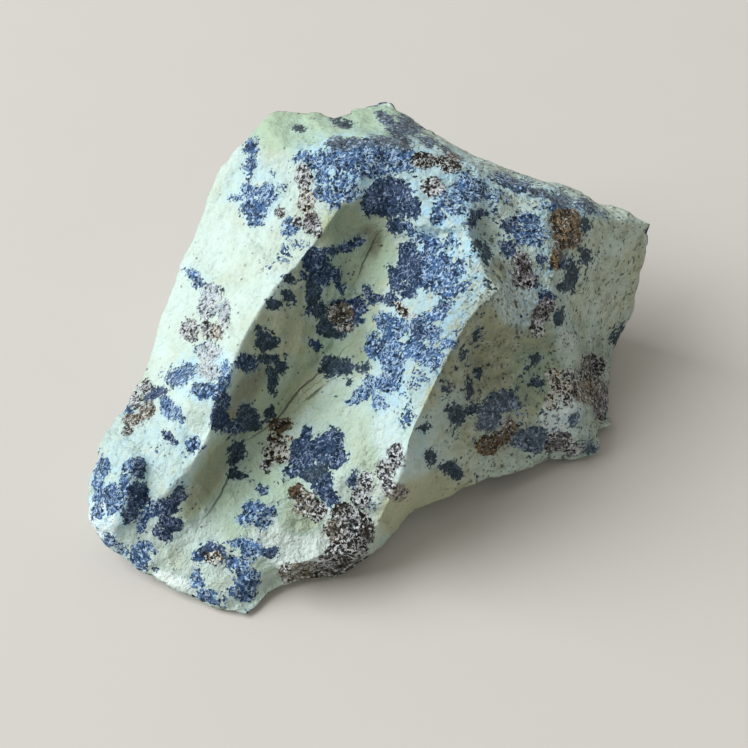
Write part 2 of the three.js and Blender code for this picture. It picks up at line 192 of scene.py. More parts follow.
# Right, up, half width, half height and, where it leans, turn of each patch.
PATCHES: dict[Mineral, Rows] = {
    Mineral.COBALT: (
        (-10.3, 18.9, 0.75, 0.92), (-10.3, 17.6, 0.5, 0.75), (-10.2, 15.4, 0.92, 0.75),
        (-11.4, 14.8, 0.84, 0.33, 8), (-8.9, 15.2, 0.75, 0.92), (-10.0, 13.8, 1.09, 1.0),
        (-9.9, 12.8, 0.58, 0.42), (-5.8, 18.1, 0.75, 0.5), (-4.7, 17.8, 1.0, 0.75),
        (-4.3, 16.4, 0.75, 0.92), (-4.3, 15.2, 0.92, 0.67, 15), (-7.0, 12.2, 0.84, 0.75),
        (-15.0, 8.3, 0.58, 0.42, -20), (-14.5, 7.6, 0.5, 0.5, -30), (-16.4, -0.3, 1.17, 0.84, 8),
        (-15.4, 0.3, 0.75, 0.58), (-12.5, -0.2, 0.58, 1.25), (-14.1, -1.4, 1.34, 0.67),
        (-17.2, -2.8, 0.58, 0.84), (-16.4, -3.5, 0.5, 0.84, 20), (-15.2, -5.9, 0.75, 0.58),
        (-20.6, -2.8, 0.42, 0.58), (-22.7, -8.0, 0.67, 0.92), (-23.1, -9.9, 0.67, 1.5),
        (-21.9, -10.4, 0.92, 1.25), (-20.8, -9.3, 0.5, 1.09), (-20.6, -7.6, 0.67, 0.58),
        (-21.4, -11.0, 0.5, 0.67), (-23.2, -11.5, 0.67, 0.67), (-18.9, -11.5, 0.75, 0.67),
        (-19.4, -12.5, 0.5, 0.92, -10), (-22.1, -13.9, 0.58, 0.42, -40), (-21.1, -14.8, 0.75, 0.42, -30),
        (-19.7, -15.2, 1.17, 0.84, -25), (-18.8, -14.5, 0.75, 0.42, -20), (-19.4, -16.0, 0.58, 0.42, -20),
        (-14.8, -17.2, 0.58, 0.67), (-14.0, -18.6, 0.92, 0.58, -15), (-9.9, -11.2, 0.92, 0.67),
        (-10.6, -12.2, 0.84, 0.5), (-9.4, -12.3, 0.84, 0.67), (-8.6, -11.5, 0.42, 0.42),
        (-11.4, -14.2, 0.67, 0.5), (-10.2, -14.6, 1.17, 0.84), (-11.2, -16.0, 1.09, 0.75, -20),
        (-10.6, -17.2, 1.09, 1.09), (-10.9, -18.3, 1.09, 0.84), (-14.5, -15.2, 0.58, 0.5),
        (-0.8, -1.6, 0.84, 0.58), (-1.8, -2.3, 0.58, 0.25, 10), (0.5, -2.3, 0.67, 0.67),
        (0.1, -0.7, 1.0, 0.58), (1.2, -0.8, 1.09, 0.84), (1.7, 0.7, 1.0, 1.25), (1.1, 2.4, 1.34, 1.34),
        (1.8, 3.8, 1.34, 1.0), (-0.2, 2.4, 0.58, 1.17), (0.9, 4.5, 0.84, 0.67), (3.2, 2.0, 0.92, 1.0),
        (4.7, 1.4, 0.84, 1.17), (4.3, 4.7, 1.34, 0.5, 35), (5.3, 5.2, 0.67, 1.0, -35),
        (4.8, 3.6, 0.84, 0.75), (4.8, 8.4, 1.34, 1.67), (5.9, 8.7, 1.17, 1.5), (5.0, 10.8, 0.75, 0.92),
        (6.0, 7.0, 0.84, 0.84), (6.5, 2.4, 0.67, 0.42, 20), (5.9, 2.6, 0.42, 0.5), (3.1, 12.0, 0.5, 0.67),
        (-2.4, 15.4, 1.25, 1.0), (-3.2, 14.6, 0.67, 0.75), (3.7, 11.4, 0.42, 0.58),
        (-3.3, 17.9, 1.84, 1.09), (-0.7, 18.2, 2.17, 1.09), (1.9, 17.9, 1.67, 1.09),
        (-0.7, 17.0, 1.84, 0.67), (-2.8, 16.5, 0.75, 0.5), (8.0, 15.4, 1.67, 1.09),
        (12.2, 15.7, 1.34, 0.5, -15), (5.2, 13.3, 0.67, 0.84), (12.8, 12.9, 1.0, 0.67),
        (13.0, 11.7, 1.42, 1.09),
    ),
    Mineral.NAVY: (
        (-18.1, -1.6, 0.92, 0.67, 20), (-17.0, -5.3, 0.75, 0.33, -35), (-19.6, -8.0, 0.67, 0.92),
        (-19.6, -10.1, 0.92, 1.34), (-20.2, -11.7, 0.58, 0.75), (-17.5, -11.3, 1.25, 0.84),
        (-16.4, -9.9, 0.67, 1.17, -20), (-17.0, -12.5, 1.17, 0.75), (-17.6, -13.5, 0.67, 0.84),
        (-20.6, -11.9, 0.58, 0.5), (-9.3, -9.8, 0.5, 0.42), (-8.5, -14.9, 0.67, 0.5, 15),
        (-12.1, -15.7, 0.58, 0.58), (-13.5, -14.9, 1.25, 0.92), (-13.0, -15.5, 0.67, 0.5),
        (-12.7, -2.2, 0.67, 1.25), (-13.0, -3.7, 0.75, 1.25), (-11.7, -4.3, 1.0, 0.67),
        (-10.6, 0.9, 0.92, 0.84), (-5.9, 8.2, 0.67, 0.5), (-5.4, 5.2, 0.33, 0.5), (-4.9, 9.4, 1.17, 1.25),
        (-4.5, 7.9, 1.0, 0.75), (-3.6, 10.2, 0.84, 0.5), (-1.9, 10.8, 1.0, 0.5, 25), (-3.3, 8.4, 0.5, 0.67),
        (-2.7, 7.2, 0.42, 0.5), (-0.7, 6.9, 0.5, 0.67), (0.2, 6.4, 0.75, 0.5), (-2.8, 5.9, 1.17, 0.42),
        (-1.4, 5.7, 0.67, 1.09), (-1.5, 4.5, 0.67, 0.5), (-4.9, 2.5, 0.58, 0.42, -30),
        (3.8, 3.7, 0.75, 0.92), (5.8, 5.8, 0.5, 0.58), (1.3, 6.2, 0.84, 0.5), (2.8, 6.8, 0.75, 0.5),
        (3.4, 8.7, 1.67, 1.59), (2.6, 7.4, 0.92, 0.58), (1.8, 8.1, 0.67, 1.25), (2.8, 10.4, 0.84, 0.67),
        (-6.0, -6.9, 1.34, 1.59), (-3.8, -5.6, 1.25, 1.25), (-3.3, -6.9, 1.0, 0.92),
        (-4.1, -9.5, 1.0, 1.09), (-5.5, -4.9, 0.5, 0.58), (-6.8, -8.2, 0.75, 0.58), (-4.5, -6.4, 1.0, 1.17),
        (-3.6, -10.4, 0.75, 0.75), (1.8, 12.4, 0.75, 0.84), (1.4, 14.7, 2.17, 1.76), (3.1, 14.0, 0.75, 1.0),
        (-0.4, 14.2, 0.75, 1.09), (8.9, 13.4, 1.09, 0.42), (8.1, 12.7, 0.5, 0.67), (11.5, 12.3, 0.75, 0.75),
        (11.2, 10.4, 0.75, 0.67), (14.0, 9.6, 0.67, 0.5, 15), (15.3, 14.0, 0.75, 0.75),
        (15.6, 9.4, 0.67, 0.75), (14.5, 6.5, 0.67, 0.58), (13.5, 7.6, 0.5, 0.67), (-1.7, -8.8, 0.5, 0.75),
    ),
    Mineral.SLATE: (
        (-2.2, 19.2, 1.84, 0.67), (0.5, 19.3, 1.84, 0.58), (2.5, 19.1, 0.75, 0.67),
        (11.8, 16.0, 1.67, 0.5, -8), (13.7, 15.2, 1.34, 0.5, -15), (15.5, 14.5, 1.17, 0.75, -20),
        (17.8, 14.0, 1.0, 0.58, -20), (1.0, 21.3, 1.0, 0.5, -45), (2.0, 20.1, 1.34, 0.58, -35),
        (3.0, 20.8, 1.17, 0.67, -30), (4.5, 19.5, 0.84, 0.5, -20), (6.4, 18.5, 1.0, 0.33, -25),
        (10.7, -2.3, 1.5, 1.09), (9.5, -3.8, 1.25, 1.17), (13.2, -5.4, 1.67, 1.09), (18.1, -6.3, 0.92, 0.5),
        (16.8, -3.8, 0.67, 0.67),
    ),
    Mineral.INK: (
        (-11.4, -6.6, 0.67, 1.09, -15), (-11.4, -8.4, 0.67, 0.42, -20), (-10.5, -3.7, 1.09, 1.25),
        (-8.8, -3.2, 0.42, 0.75), (-8.9, 2.7, 1.09, 0.92), (-9.4, 3.6, 0.58, 0.5), (-8.7, 1.3, 1.34, 0.42),
        (-7.8, 0.7, 0.58, 0.75), (-8.5, -0.6, 0.5, 1.17), (-7.2, 6.4, 0.58, 0.58), (-8.4, 5.9, 0.75, 0.5),
        (-7.0, 8.0, 0.75, 0.42), (-5.1, 7.0, 0.75, 1.5), (-4.5, 5.2, 0.75, 0.84), (-3.3, 4.0, 1.42, 1.09),
        (-3.5, 0.6, 1.09, 0.84), (-2.3, 0.5, 0.67, 0.67), (-1.1, 0.6, 0.67, 0.5, 10),
        (-2.0, -0.7, 0.5, 0.33, -30), (-5.0, -8.2, 1.0, 0.92), (-5.7, -8.0, 0.84, 0.84),
        (-6.4, 20.6, 0.5, 0.33, -10), (-2.6, 21.0, 1.09, 0.33, -12), (9.4, 9.9, 0.5, 1.0),
        (8.6, 10.8, 0.5, 0.5), (9.4, 7.6, 0.5, 0.42), (16.5, 8.4, 0.67, 1.09), (17.8, 9.7, 0.58, 0.58),
        (16.0, 7.4, 1.0, 0.5, 20), (15.5, 4.8, 0.5, 0.75), (17.6, 12.2, 0.42, 0.84),
        (5.9, -1.1, 0.42, 0.42), (7.8, -1.0, 0.5, 1.09), (8.6, 0.1, 0.33, 0.5), (6.8, -3.4, 0.75, 1.09),
        (8.2, -3.0, 0.75, 0.5), (11.4, -1.8, 0.67, 0.67), (8.6, 3.3, 0.33, 0.75), (7.4, 1.6, 0.42, 0.58),
        (13.5, 1.3, 0.58, 0.42), (13.5, -0.6, 0.58, 0.5), (13.2, -4.8, 1.0, 0.5), (4.7, -6.9, 0.58, 0.67),
        (6.5, -8.0, 1.09, 0.58, -30), (4.3, -4.5, 0.5, 0.33, 20), (20.4, 3.2, 0.42, 1.34, -20),
    ),
    Mineral.DUST: (
        (-10.3, 16.6, 0.58, 0.75), (-7.6, 15.6, 0.75, 0.67), (-8.6, 16.8, 0.58, 0.33, -30),
        (-11.2, 14.0, 0.58, 0.33, -30), (-6.6, 10.9, 1.09, 0.5), (-7.6, 9.8, 0.5, 0.84, -15),
        (-8.7, 8.9, 0.67, 0.5, 20), (-14.0, 2.3, 1.34, 0.67), (-17.9, -5.9, 0.33, 0.5),
        (-16.1, -6.5, 0.42, 0.33), (-23.1, -12.5, 0.25, 0.33), (-18.3, -16.2, 0.67, 0.67, -30),
        (-17.3, -15.9, 0.5, 0.5), (-12.7, -18.9, 0.75, 0.58), (3.9, 0.0, 0.92, 0.84),
        (3.4, -1.2, 0.67, 0.67), (2.4, -1.5, 0.67, 0.75), (2.8, -3.2, 0.67, 1.34, -10),
        (6.9, 9.2, 1.0, 1.17), (7.2, 7.2, 0.92, 0.84), (6.5, 11.0, 0.75, 0.84), (7.0, 3.7, 0.75, 0.58, 30),
        (-0.2, -11.0, 0.75, 0.75), (6.4, 14.4, 1.84, 1.17), (9.9, 14.9, 1.5, 0.92),
        (10.9, 16.4, 1.67, 0.58, -5), (15.1, 13.9, 1.84, 0.58, -20), (19.1, 13.4, 1.5, 0.42, -18),
        (8.0, 16.9, 1.17, 0.5, -10),
    ),
    Mineral.BLACK: (
        (-20.6, -4.7, 0.5, 0.42), (-14.1, -15.0, 0.42, 0.33), (-2.6, -11.5, 1.0, 0.67, 10),
        (-0.8, -13.0, 0.75, 1.34), (-2.3, -14.5, 1.67, 1.0), (-2.9, -16.0, 2.34, 1.17, 15),
        (-4.7, -17.0, 0.84, 0.67), (-4.7, -11.5, 0.75, 0.84), (4.3, 17.9, 1.25, 0.67),
        (6.3, 17.6, 1.09, 0.92), (18.2, 0.6, 1.0, 1.25),
    ),
    Mineral.BRONZE: (
        (-19.0, -3.0, 0.75, 0.92), (-20.1, -3.8, 0.84, 0.67), (-2.8, 5.1, 1.09, 0.92),
        (-2.4, 4.0, 0.75, 0.5), (-5.7, -10.8, 1.09, 1.17, -30), (1.9, -9.9, 0.92, 0.75),
        (-3.1, -13.1, 1.09, 1.17), (-6.2, -16.6, 1.84, 0.92, 8), (11.3, -4.5, 0.84, 0.67, 30),
        (18.0, -1.3, 1.34, 1.34),
    ),
    Mineral.GOLD: (
        (-5.7, 14.5, 0.67, 1.17), (-13.3, 3.6, 0.58, 0.75), (2.3, 5.4, 0.92, 0.42, -45),
        (-7.9, -5.4, 1.09, 0.42), (-8.2, -6.5, 1.17, 1.0), (-13.5, -15.3, 0.75, 0.5),
        (15.0, -0.3, 0.75, 0.75), (15.7, -1.3, 1.09, 0.84), (14.7, -2.3, 0.75, 0.75),
    ),
    Mineral.SILVER: (
        (-5.9, 16.4, 0.75, 1.17, 5), (-4.7, 12.1, 0.42, 0.75), (-6.4, 12.7, 0.58, 0.5),
        (-15.4, 3.7, 0.84, 0.92), (-14.0, 3.8, 0.58, 0.84), (-19.1, -1.1, 0.67, 0.67),
        (-20.1, -2.2, 0.92, 0.67), (3.1, 4.8, 0.42, 0.33), (-8.9, -7.7, 0.58, 0.58),
        (-4.7, -11.4, 0.58, 0.75), (1.8, -6.8, 0.75, 1.09), (1.0, -7.9, 0.84, 1.0),
        (-0.7, -9.2, 0.75, 1.09), (1.2, -9.2, 0.67, 0.75), (-1.0, -10.4, 0.84, 0.84),
        (-1.7, -12.4, 1.25, 1.09), (-1.2, -14.8, 0.75, 0.67), (-4.3, -16.3, 0.33, 1.09),
        (4.9, 15.6, 1.0, 0.92), (13.6, 4.0, 0.58, 0.84, -20), (16.5, -0.4, 0.75, 0.92),
        (16.1, -2.3, 0.58, 0.5), (16.6, -6.3, 0.92, 0.67),
    ),
    Mineral.PINK: (
        (-5.3, 12.7, 0.75, 1.0), (-7.8, 13.5, 0.5, 0.5), (12.4, 9.4, 0.92, 0.92), (12.5, 8.2, 1.0, 1.09),
        (14.1, 5.2, 0.75, 1.34, -20), (19.0, -2.3, 0.75, 1.84), (15.5, -5.5, 1.0, 0.75),
        (14.9, -6.1, 0.67, 0.58),
    ),
    Mineral.RUST: (
        (-7.8, -4.3, 1.17, 0.67), (-6.4, -9.9, 0.75, 0.75, -30), (15.8, 13.0, 1.09, 0.92),
        (16.1, 11.6, 1.25, 1.25), (16.5, 12.7, 0.84, 1.17), (15.2, 9.7, 0.5, 1.0), (9.5, -6.0, 1.09, 0.92),
        (10.9, -5.3, 0.92, 0.75),
    ),
    # Painted light: the silver ore on the lit left facet, lighter and with more painted glints.
    Mineral.SILVER_PAINTED_LIT: (
        (-13.5, 6.9, 1.0, 0.67), (-13.9, 5.5, 0.92, 1.09), (-12.5, 5.0, 0.5, 1.34), (-13.8, 1.8, 1.0, 0.75),
        (-13.8, 0.3, 0.92, 0.75),
    ),
}

# Right and up of the bends of each crack.
CRACKS: tuple[tuple[Plane, ...], ...] = (
    (
        (-2.4, 2.0), (-3.7, 1.0), (-5.1, -0.3), (-6.2, -1.2), (-7.0, -2.3), (-7.9, -3.5), (-9.4, -4.8),
        (-10.5, -5.5),
    ),
    ((-4.1, -0.9), (-5.8, -2.2)),
    ((0.2, 11.5), (-0.3, 10.4), (-0.8, 9.4), (-1.3, 8.2)),
    ((-11.2, -5.7), (-11.5, -7.2), (-12.2, -8.7), (-12.7, -9.9), (-13.5, -11.2), (-14.3, -12.2)),
)

# Right, up, half width, half height, turn and value of each zone. A later one lies over an earlier one.
ZONES: dict[str, Rows] = {
    "relief": (
        (-14.1, 7.0, 5.9, 12.5, 0, 0.6), (-6.2, -13.5, 4.2, 2.9, 0, 1.9), (12.2, 1.2, 7.5, 7.5, 0, 1.7),
        (19.3, 9.1, 4.0, 5.0, 0, 0.7), (-1.4, 12.1, 3.0, 2.3, 10, 0.9), (0.3, 9.0, 1.3, 2.2, -20, 0.8),
        (-3.7, 20.7, 7.1, 2.3, 0, 0.5), (12.2, 5.8, 1.8, 2.8, 0, 1.2),
    ),
    # Values from 0 to 1 mix in an olive-green tint, partly the rock's own tone and partly painted warm
    # shade. From 1 to 2 they paint dark olive shade on the valley walls, the bowl, the valley floor in the
    # ridge's shadow and the front faces. Below 0 they paint pale light on facets turned to the lamp, with a
    # painted highlight on the bead at the top.
    "sage": (
        (-6.2, -13.5, 4.2, 2.9, 0, -0.65), (-4.5, 8.2, 3.5, 1.7, 52, 1.15), (-7.5, 3.3, 4.3, 2.3, 58, 1.2),
        (-10.4, -2.3, 3.8, 1.8, 65, 1.7), (-13.7, -8.4, 3.8, 1.1, 58, 1.45),
        (-1.4, 12.1, 3.0, 2.3, 10, 1.05), (0.3, 9.0, 1.3, 2.2, -20, 0.8), (-0.6, 10.7, 1.3, 1.8, -20, 1.75),
        (1.0, 22.3, 0.7, 0.5, 0, -1.8), (-2.2, 6.9, 2.5, 4.2, 0, 1.2), (-1.8, 2.4, 2.0, 2.2, 0, 1.45),
        (-6.4, -0.7, 5.2, 1.8, 46, 0.85), (-6.0, -11.8, 1.8, 1.5, 0, 0.4), (-3.7, 20.7, 7.1, 2.3, 0, 0.65),
        (2.3, -4.8, 2.3, 3.2, 0, -0.5), (5.2, 2.4, 1.7, 6.5, -27, -0.8), (8.9, 0.8, 6.3, 7.9, -15, 0.55),
        (4.3, -10.5, 4.2, 1.8, 30, 1.05), (11.8, 1.2, 2.8, 2.2, 0, 1.15), (5.9, -4.2, 1.5, 2.8, -22, 0.05),
        (10.2, 5.9, 1.0, 1.2, 0, 0.1), (12.9, -1.8, 1.7, 1.5, 0, 1.25), (19.6, 7.9, 3.8, 6.3, 0, 0.25),
        (9.5, 1.8, 2.0, 3.5, -15, 1.25), (12.2, 5.8, 1.8, 2.8, 0, -0.7), (10.6, 2.8, 2.5, 1.1, 10, 1.3),
        (16.0, 2.3, 0.9, 2.0, 0, -0.5), (15.5, -3.3, 1.7, 1.8, 0, -1.4), (-23.1, -12.2, 1.5, 2.0, 0, -1.3),
        (-17.0, -17.5, 2.5, 0.8, -20, -0.7),
    ),
    "wash": (
        (2.3, -4.8, 2.3, 3.2, 0, 0.3), (12.8, 6.2, 1.8, 2.5, 0, 0.6), (2.2, 16.6, 8.4, 2.9, -12, 0.75),
        (6.4, 10.4, 2.8, 5.0, 10, 0.85), (5.0, 2.4, 1.5, 6.0, -27, 0.8), (2.8, 2.0, 2.5, 5.4, -20, 0.6),
        (-22.5, -10.5, 2.5, 3.3, 0, 0.5), (14.3, 11.2, 0.8, 3.5, 0, 0.7), (15.7, -3.5, 1.5, 1.7, 0, 0.25),
        (14.3, 14.9, 5.2, 0.7, -20, 0.55), (-9.9, 15.4, 2.5, 2.5, 0, 0.35),
        (-18.7, -6.8, 3.8, 4.2, 0, 0.35), (-14.1, -0.1, 2.5, 2.5, 0, 0.5),
    ),
    "fibre": (
        (12.2, 5.8, 1.8, 2.8, 0, 0.8), (14.4, 11.2, 1.0, 3.8, 0, 0.7), (16.0, 11.9, 1.5, 2.2, 0, 1.0),
    ),
    "green": (
        (-7.0, -13.5, 5.2, 3.8, 0, 0.45), (-9.9, -9.7, 3.8, 5.0, 20, 0.7), (-6.4, -0.7, 5.2, 1.8, 46, 0.4),
        (-2.0, 11.9, 3.0, 2.5, 10, 0.5), (0.3, 9.4, 1.3, 2.2, -20, 0.8), (-2.0, -4.7, 5.0, 3.8, 0, 0.5),
        (-3.7, 20.7, 7.1, 2.3, 0, 0.95), (-2.0, 2.4, 2.2, 2.3, 0, 0.9), (-2.2, 6.9, 2.5, 4.2, 0, 0.7),
        (-14.1, -8.9, 3.8, 1.3, 58, 0.4), (13.9, 0.3, 2.5, 3.3, 0, 0.6),
    ),
}


@dataclass(frozen=True)
class Sighting:
    """The view that the face is laid out from."""

    target: tuple[float, float, float] = (-1.211, -6.207, 9.0)
    distance: float = 117.0
    elevation: float = 50.0
    turn: float = 31.5

    def axes(self) -> tuple[np.ndarray, np.ndarray, np.ndarray]:
        """Gives the directions of the view.

        Returns:
            The unit vectors to the right, up the picture, and back to the eye.
        """
        turn, lift = math.radians(self.turn), math.radians(self.elevation)
        right = np.array((math.cos(turn), -math.sin(turn), 0.0))
        away = np.array((math.sin(turn), math.cos(turn), 0.0))
        rise = np.array((0.0, 0.0, 1.0))
        up = away * math.sin(lift) + rise * math.cos(lift)
        back = rise * math.sin(lift) - away * math.cos(lift)
        return right, up, back

    def eye(self) -> np.ndarray:
        """Gives the place of the eye."""
        return np.array(self.target) + self.axes()[2] * self.distance

    def plane(self, points: np.ndarray) -> np.ndarray:
        """Casts points onto the sighting plane, which passes through the target.

        Args:
            points: places in millimetres.

        Returns:
            Right and up of each point.
        """
        right, up, back = self.axes()
        away = points - np.array(self.target)
        scale = self.distance / (self.distance - away @ back)
        return np.stack((away @ right * scale, away @ up * scale), axis=1)

    def facing(self, points: np.ndarray, normals: np.ndarray) -> np.ndarray:
        """Tells how squarely the skin faces the eye.

        Args:
            points: places in millimetres.
            normals: the skin's unit normal at each.

        Returns:
            The cosine at each point, below zero where it faces away.
        """
        sight = self.eye() - points
        sight /= np.linalg.norm(sight, axis=1, keepdims=True)
        return np.sum(sight * normals, axis=1)


@dataclass
class Skin:
    """A closed skin of triangles, in millimetres."""

    points: np.ndarray
    triangles: np.ndarray

    @classmethod
    def of_node(cls, name: str) -> "Skin":
        """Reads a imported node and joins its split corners.

        Args:
            name: the node.

        Returns:
            The node's skin.
        """
        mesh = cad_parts[name].data
        mesh.calc_loop_triangles()
        places = np.array([corner.co for corner in mesh.vertices]) / MM
        joined, first, where = np.unique(
            np.round(places, 4), axis=0, return_index=True, return_inverse=True
        )
        triangles = np.array([triangle.vertices for triangle in mesh.loop_triangles])
        return cls(places[first], where.reshape(-1)[triangles])

    def face_normals(self) -> np.ndarray:
        """Gives each triangle's normal, as long as twice its area."""
        a, b, c = (self.points[self.triangles[:, corner]] for corner in range(3))
        return np.cross(b - a, c - a)

    def normals(self) -> np.ndarray:
        """Averages the normals of each point's triangles by area.

        Returns:
            The unit normal at each point.
        """
        total = np.zeros_like(self.points)
        for corner in range(3):
            np.add.at(total, self.triangles[:, corner], self.face_normals())
        return total / np.linalg.norm(total, axis=1, keepdims=True)

    def subdivided(self, crease: float) -> "Skin":
        """Splits each triangle in four and rounds the skin, but keeps its creases.

        Args:
            crease: the bend in degrees from which an edge stays sharp.

        Returns:
            The finer skin.
        """
        points, triangles = self.points, self.triangles
        sides = np.concatenate([triangles[:, [0, 1]], triangles[:, [1, 2]], triangles[:, [2, 0]]])
        edges, edge_of = np.unique(np.sort(sides, axis=1), axis=0, return_inverse=True)
        edge_of = edge_of.reshape(-1)
        opposite = np.concatenate([triangles[:, 2], triangles[:, 0], triangles[:, 1]])
        flat = self.face_normals()
        flat /= np.linalg.norm(flat, axis=1, keepdims=True)
        both = np.zeros((len(edges), 3))
        np.add.at(both, edge_of, np.tile(flat, (3, 1)))
        sharp = np.linalg.norm(both, axis=1) < 2.0 * math.cos(math.radians(crease / 2.0))
        middle = (points[edges[:, 0]] + points[edges[:, 1]]) / 2.0
        across = np.zeros_like(middle)
        np.add.at(across, edge_of, points[opposite])
        rounded = middle * 0.75 + across * 0.125
        added = np.where(sharp[:, None], middle, rounded)
        moved = self.rounded_corners(edges, sharp)
        start = len(points)
        ab, bc, ca = (start + part for part in np.split(edge_of, 3))
        a, b, c = triangles.T
        finer = np.concatenate(
            [np.stack(corners, axis=1) for corners in ((a, ab, ca), (ab, b, bc), (ca, bc, c), (ab, bc, ca))]
        )
        return Skin(np.concatenate([moved, added]), finer)

    def rounded_corners(self, edges: np.ndarray, sharp: np.ndarray) -> np.ndarray:
        """Moves the corners for one round of subdivision.

        Args:
            edges: the two corners of each edge.
            sharp: which edges are creases.

        Returns:
            The corners' new places.
        """
        points = self.points
        count, total = np.zeros(len(points)), np.zeros_like(points)
        creases, along = np.zeros(len(points)), np.zeros_like(points)
        for near, far in ((0, 1), (1, 0)):
            np.add.at(count, edges[:, near], 1.0)
            np.add.at(total, edges[:, near], points[edges[:, far]])
            np.add.at(creases, edges[sharp, near], 1.0)
            np.add.at(along, edges[sharp, near], points[edges[sharp, far]])
        share = np.where(count == 3, 3.0 / 16.0, 3.0 / (8.0 * count))[:, None]
        smooth = points * (1.0 - count[:, None] * share) + total * share
        moved = np.where((creases < 2)[:, None], smooth, points)
        bend = np.linalg.norm(along - 2.0 * points, axis=1)
        straight = (creases == 2) & (bend < 0.5 * self.reach(edges, sharp))
        return np.where(straight[:, None], points * 0.75 + along * 0.125, moved)

    def reach(self, edges: np.ndarray, sharp: np.ndarray) -> np.ndarray:
        """Measures the creases at each point.

        Args:
            edges: the two corners of each edge.
            sharp: which edges are creases.

        Returns:
            The length of the creases at each point.
        """
        lengths = np.linalg.norm(self.points[edges[:, 0]] - self.points[edges[:, 1]], axis=1) * sharp
        total = np.zeros(len(self.points))
        for end in (0, 1):
            np.add.at(total, edges[:, end], lengths)
        return total


@dataclass
class FaceMap:
    """Where each mineral, crack and zone lies on a skin."""

    skin: Skin
    sighting: Sighting
    places: np.ndarray = field(init=False)
    front: np.ndarray = field(init=False)

    def __post_init__(self) -> None:
        """Casts the skin onto the sighting plane once."""
        self.places = self.sighting.plane(self.skin.points)
        facing = self.sighting.facing(self.skin.points, self.skin.normals())
        self.front = eased(-0.2, 0.12, facing)

    def spread(self, minerals: Iterable[Mineral]) -> np.ndarray:
        """Joins all patches of some minerals.

        Args:
            minerals: the ones to take.

        Returns:
            Millimetres inside the nearest rim at each point, below zero outside.
        """
        depth = np.full(len(self.places), -FAR)
        for mineral in minerals:
            for row in PATCHES[mineral]:
                depth = np.maximum(depth, Ellipse(*row).depth(self.places))
        return depth

    def blended(self, values: dict[Mineral, Numbers]) -> np.ndarray:
        """Blends a value of each mineral over the skin, by the nearest patches.

        Args:
            values: one tuple for each mineral.

        Returns:
            The blended values, a row for each point.
        """
        total, weight = 0.0, 1e-9
        for mineral, value in values.items():
            for row in PATCHES[mineral]:
                depth = np.clip(Ellipse(*row).depth(self.places), -FAR, 1.0)
                pull = np.exp(depth / BLEND_REACH)[:, None]
                total = total + pull * np.array(value)
                weight = weight + pull
        return total / weight

    def cracks(self) -> tuple[np.ndarray, np.ndarray]:
        """Measures how far each point is from the nearest crack.

        Returns:
            The distance in millimetres, with a sign for the side of the line, and the crack's
            strength, which fades towards its ends and away from the line.
        """
        nearest = np.full(len(self.places), FAR)
        strength = np.zeros(len(self.places))
        for line in CRACKS:
            steps = len(line) - 1
            for step, (start, end) in enumerate(zip(line, line[1:])):
                run = np.array(end) - np.array(start)
                away = self.places - np.array(start)
                along = np.clip(away @ run / (run @ run), 0.0, 1.0)
                gap = np.linalg.norm(away - along[:, None] * run, axis=1)
                side = np.sign(run[0] * away[:, 1] - run[1] * away[:, 0])
                closer = gap < np.abs(nearest)
                taper = np.sin(math.pi * np.clip((step + along) / steps, 0.02, 0.98)) ** 0.5
                nearest = np.where(closer, side * gap, nearest)
                strength = np.where(closer, taper * eased(*CRACK_SIDES, gap), strength)
        return nearest, strength * self.front

    def zoned(self, name: str, usual: float = 0.0) -> np.ndarray:
        """Lays one property of the zones over the skin.

        Args:
            name: the property.
            usual: its value outside the zones.

        Returns:
            The value at each point.
        """
        values = np.full(len(self.places), usual)
        for *row, wanted in ZONES[name]:
            share = eased(*ZONE_RIM, Ellipse(*row).inside(self.places))
            values += (wanted - values) * share * self.front
        return values


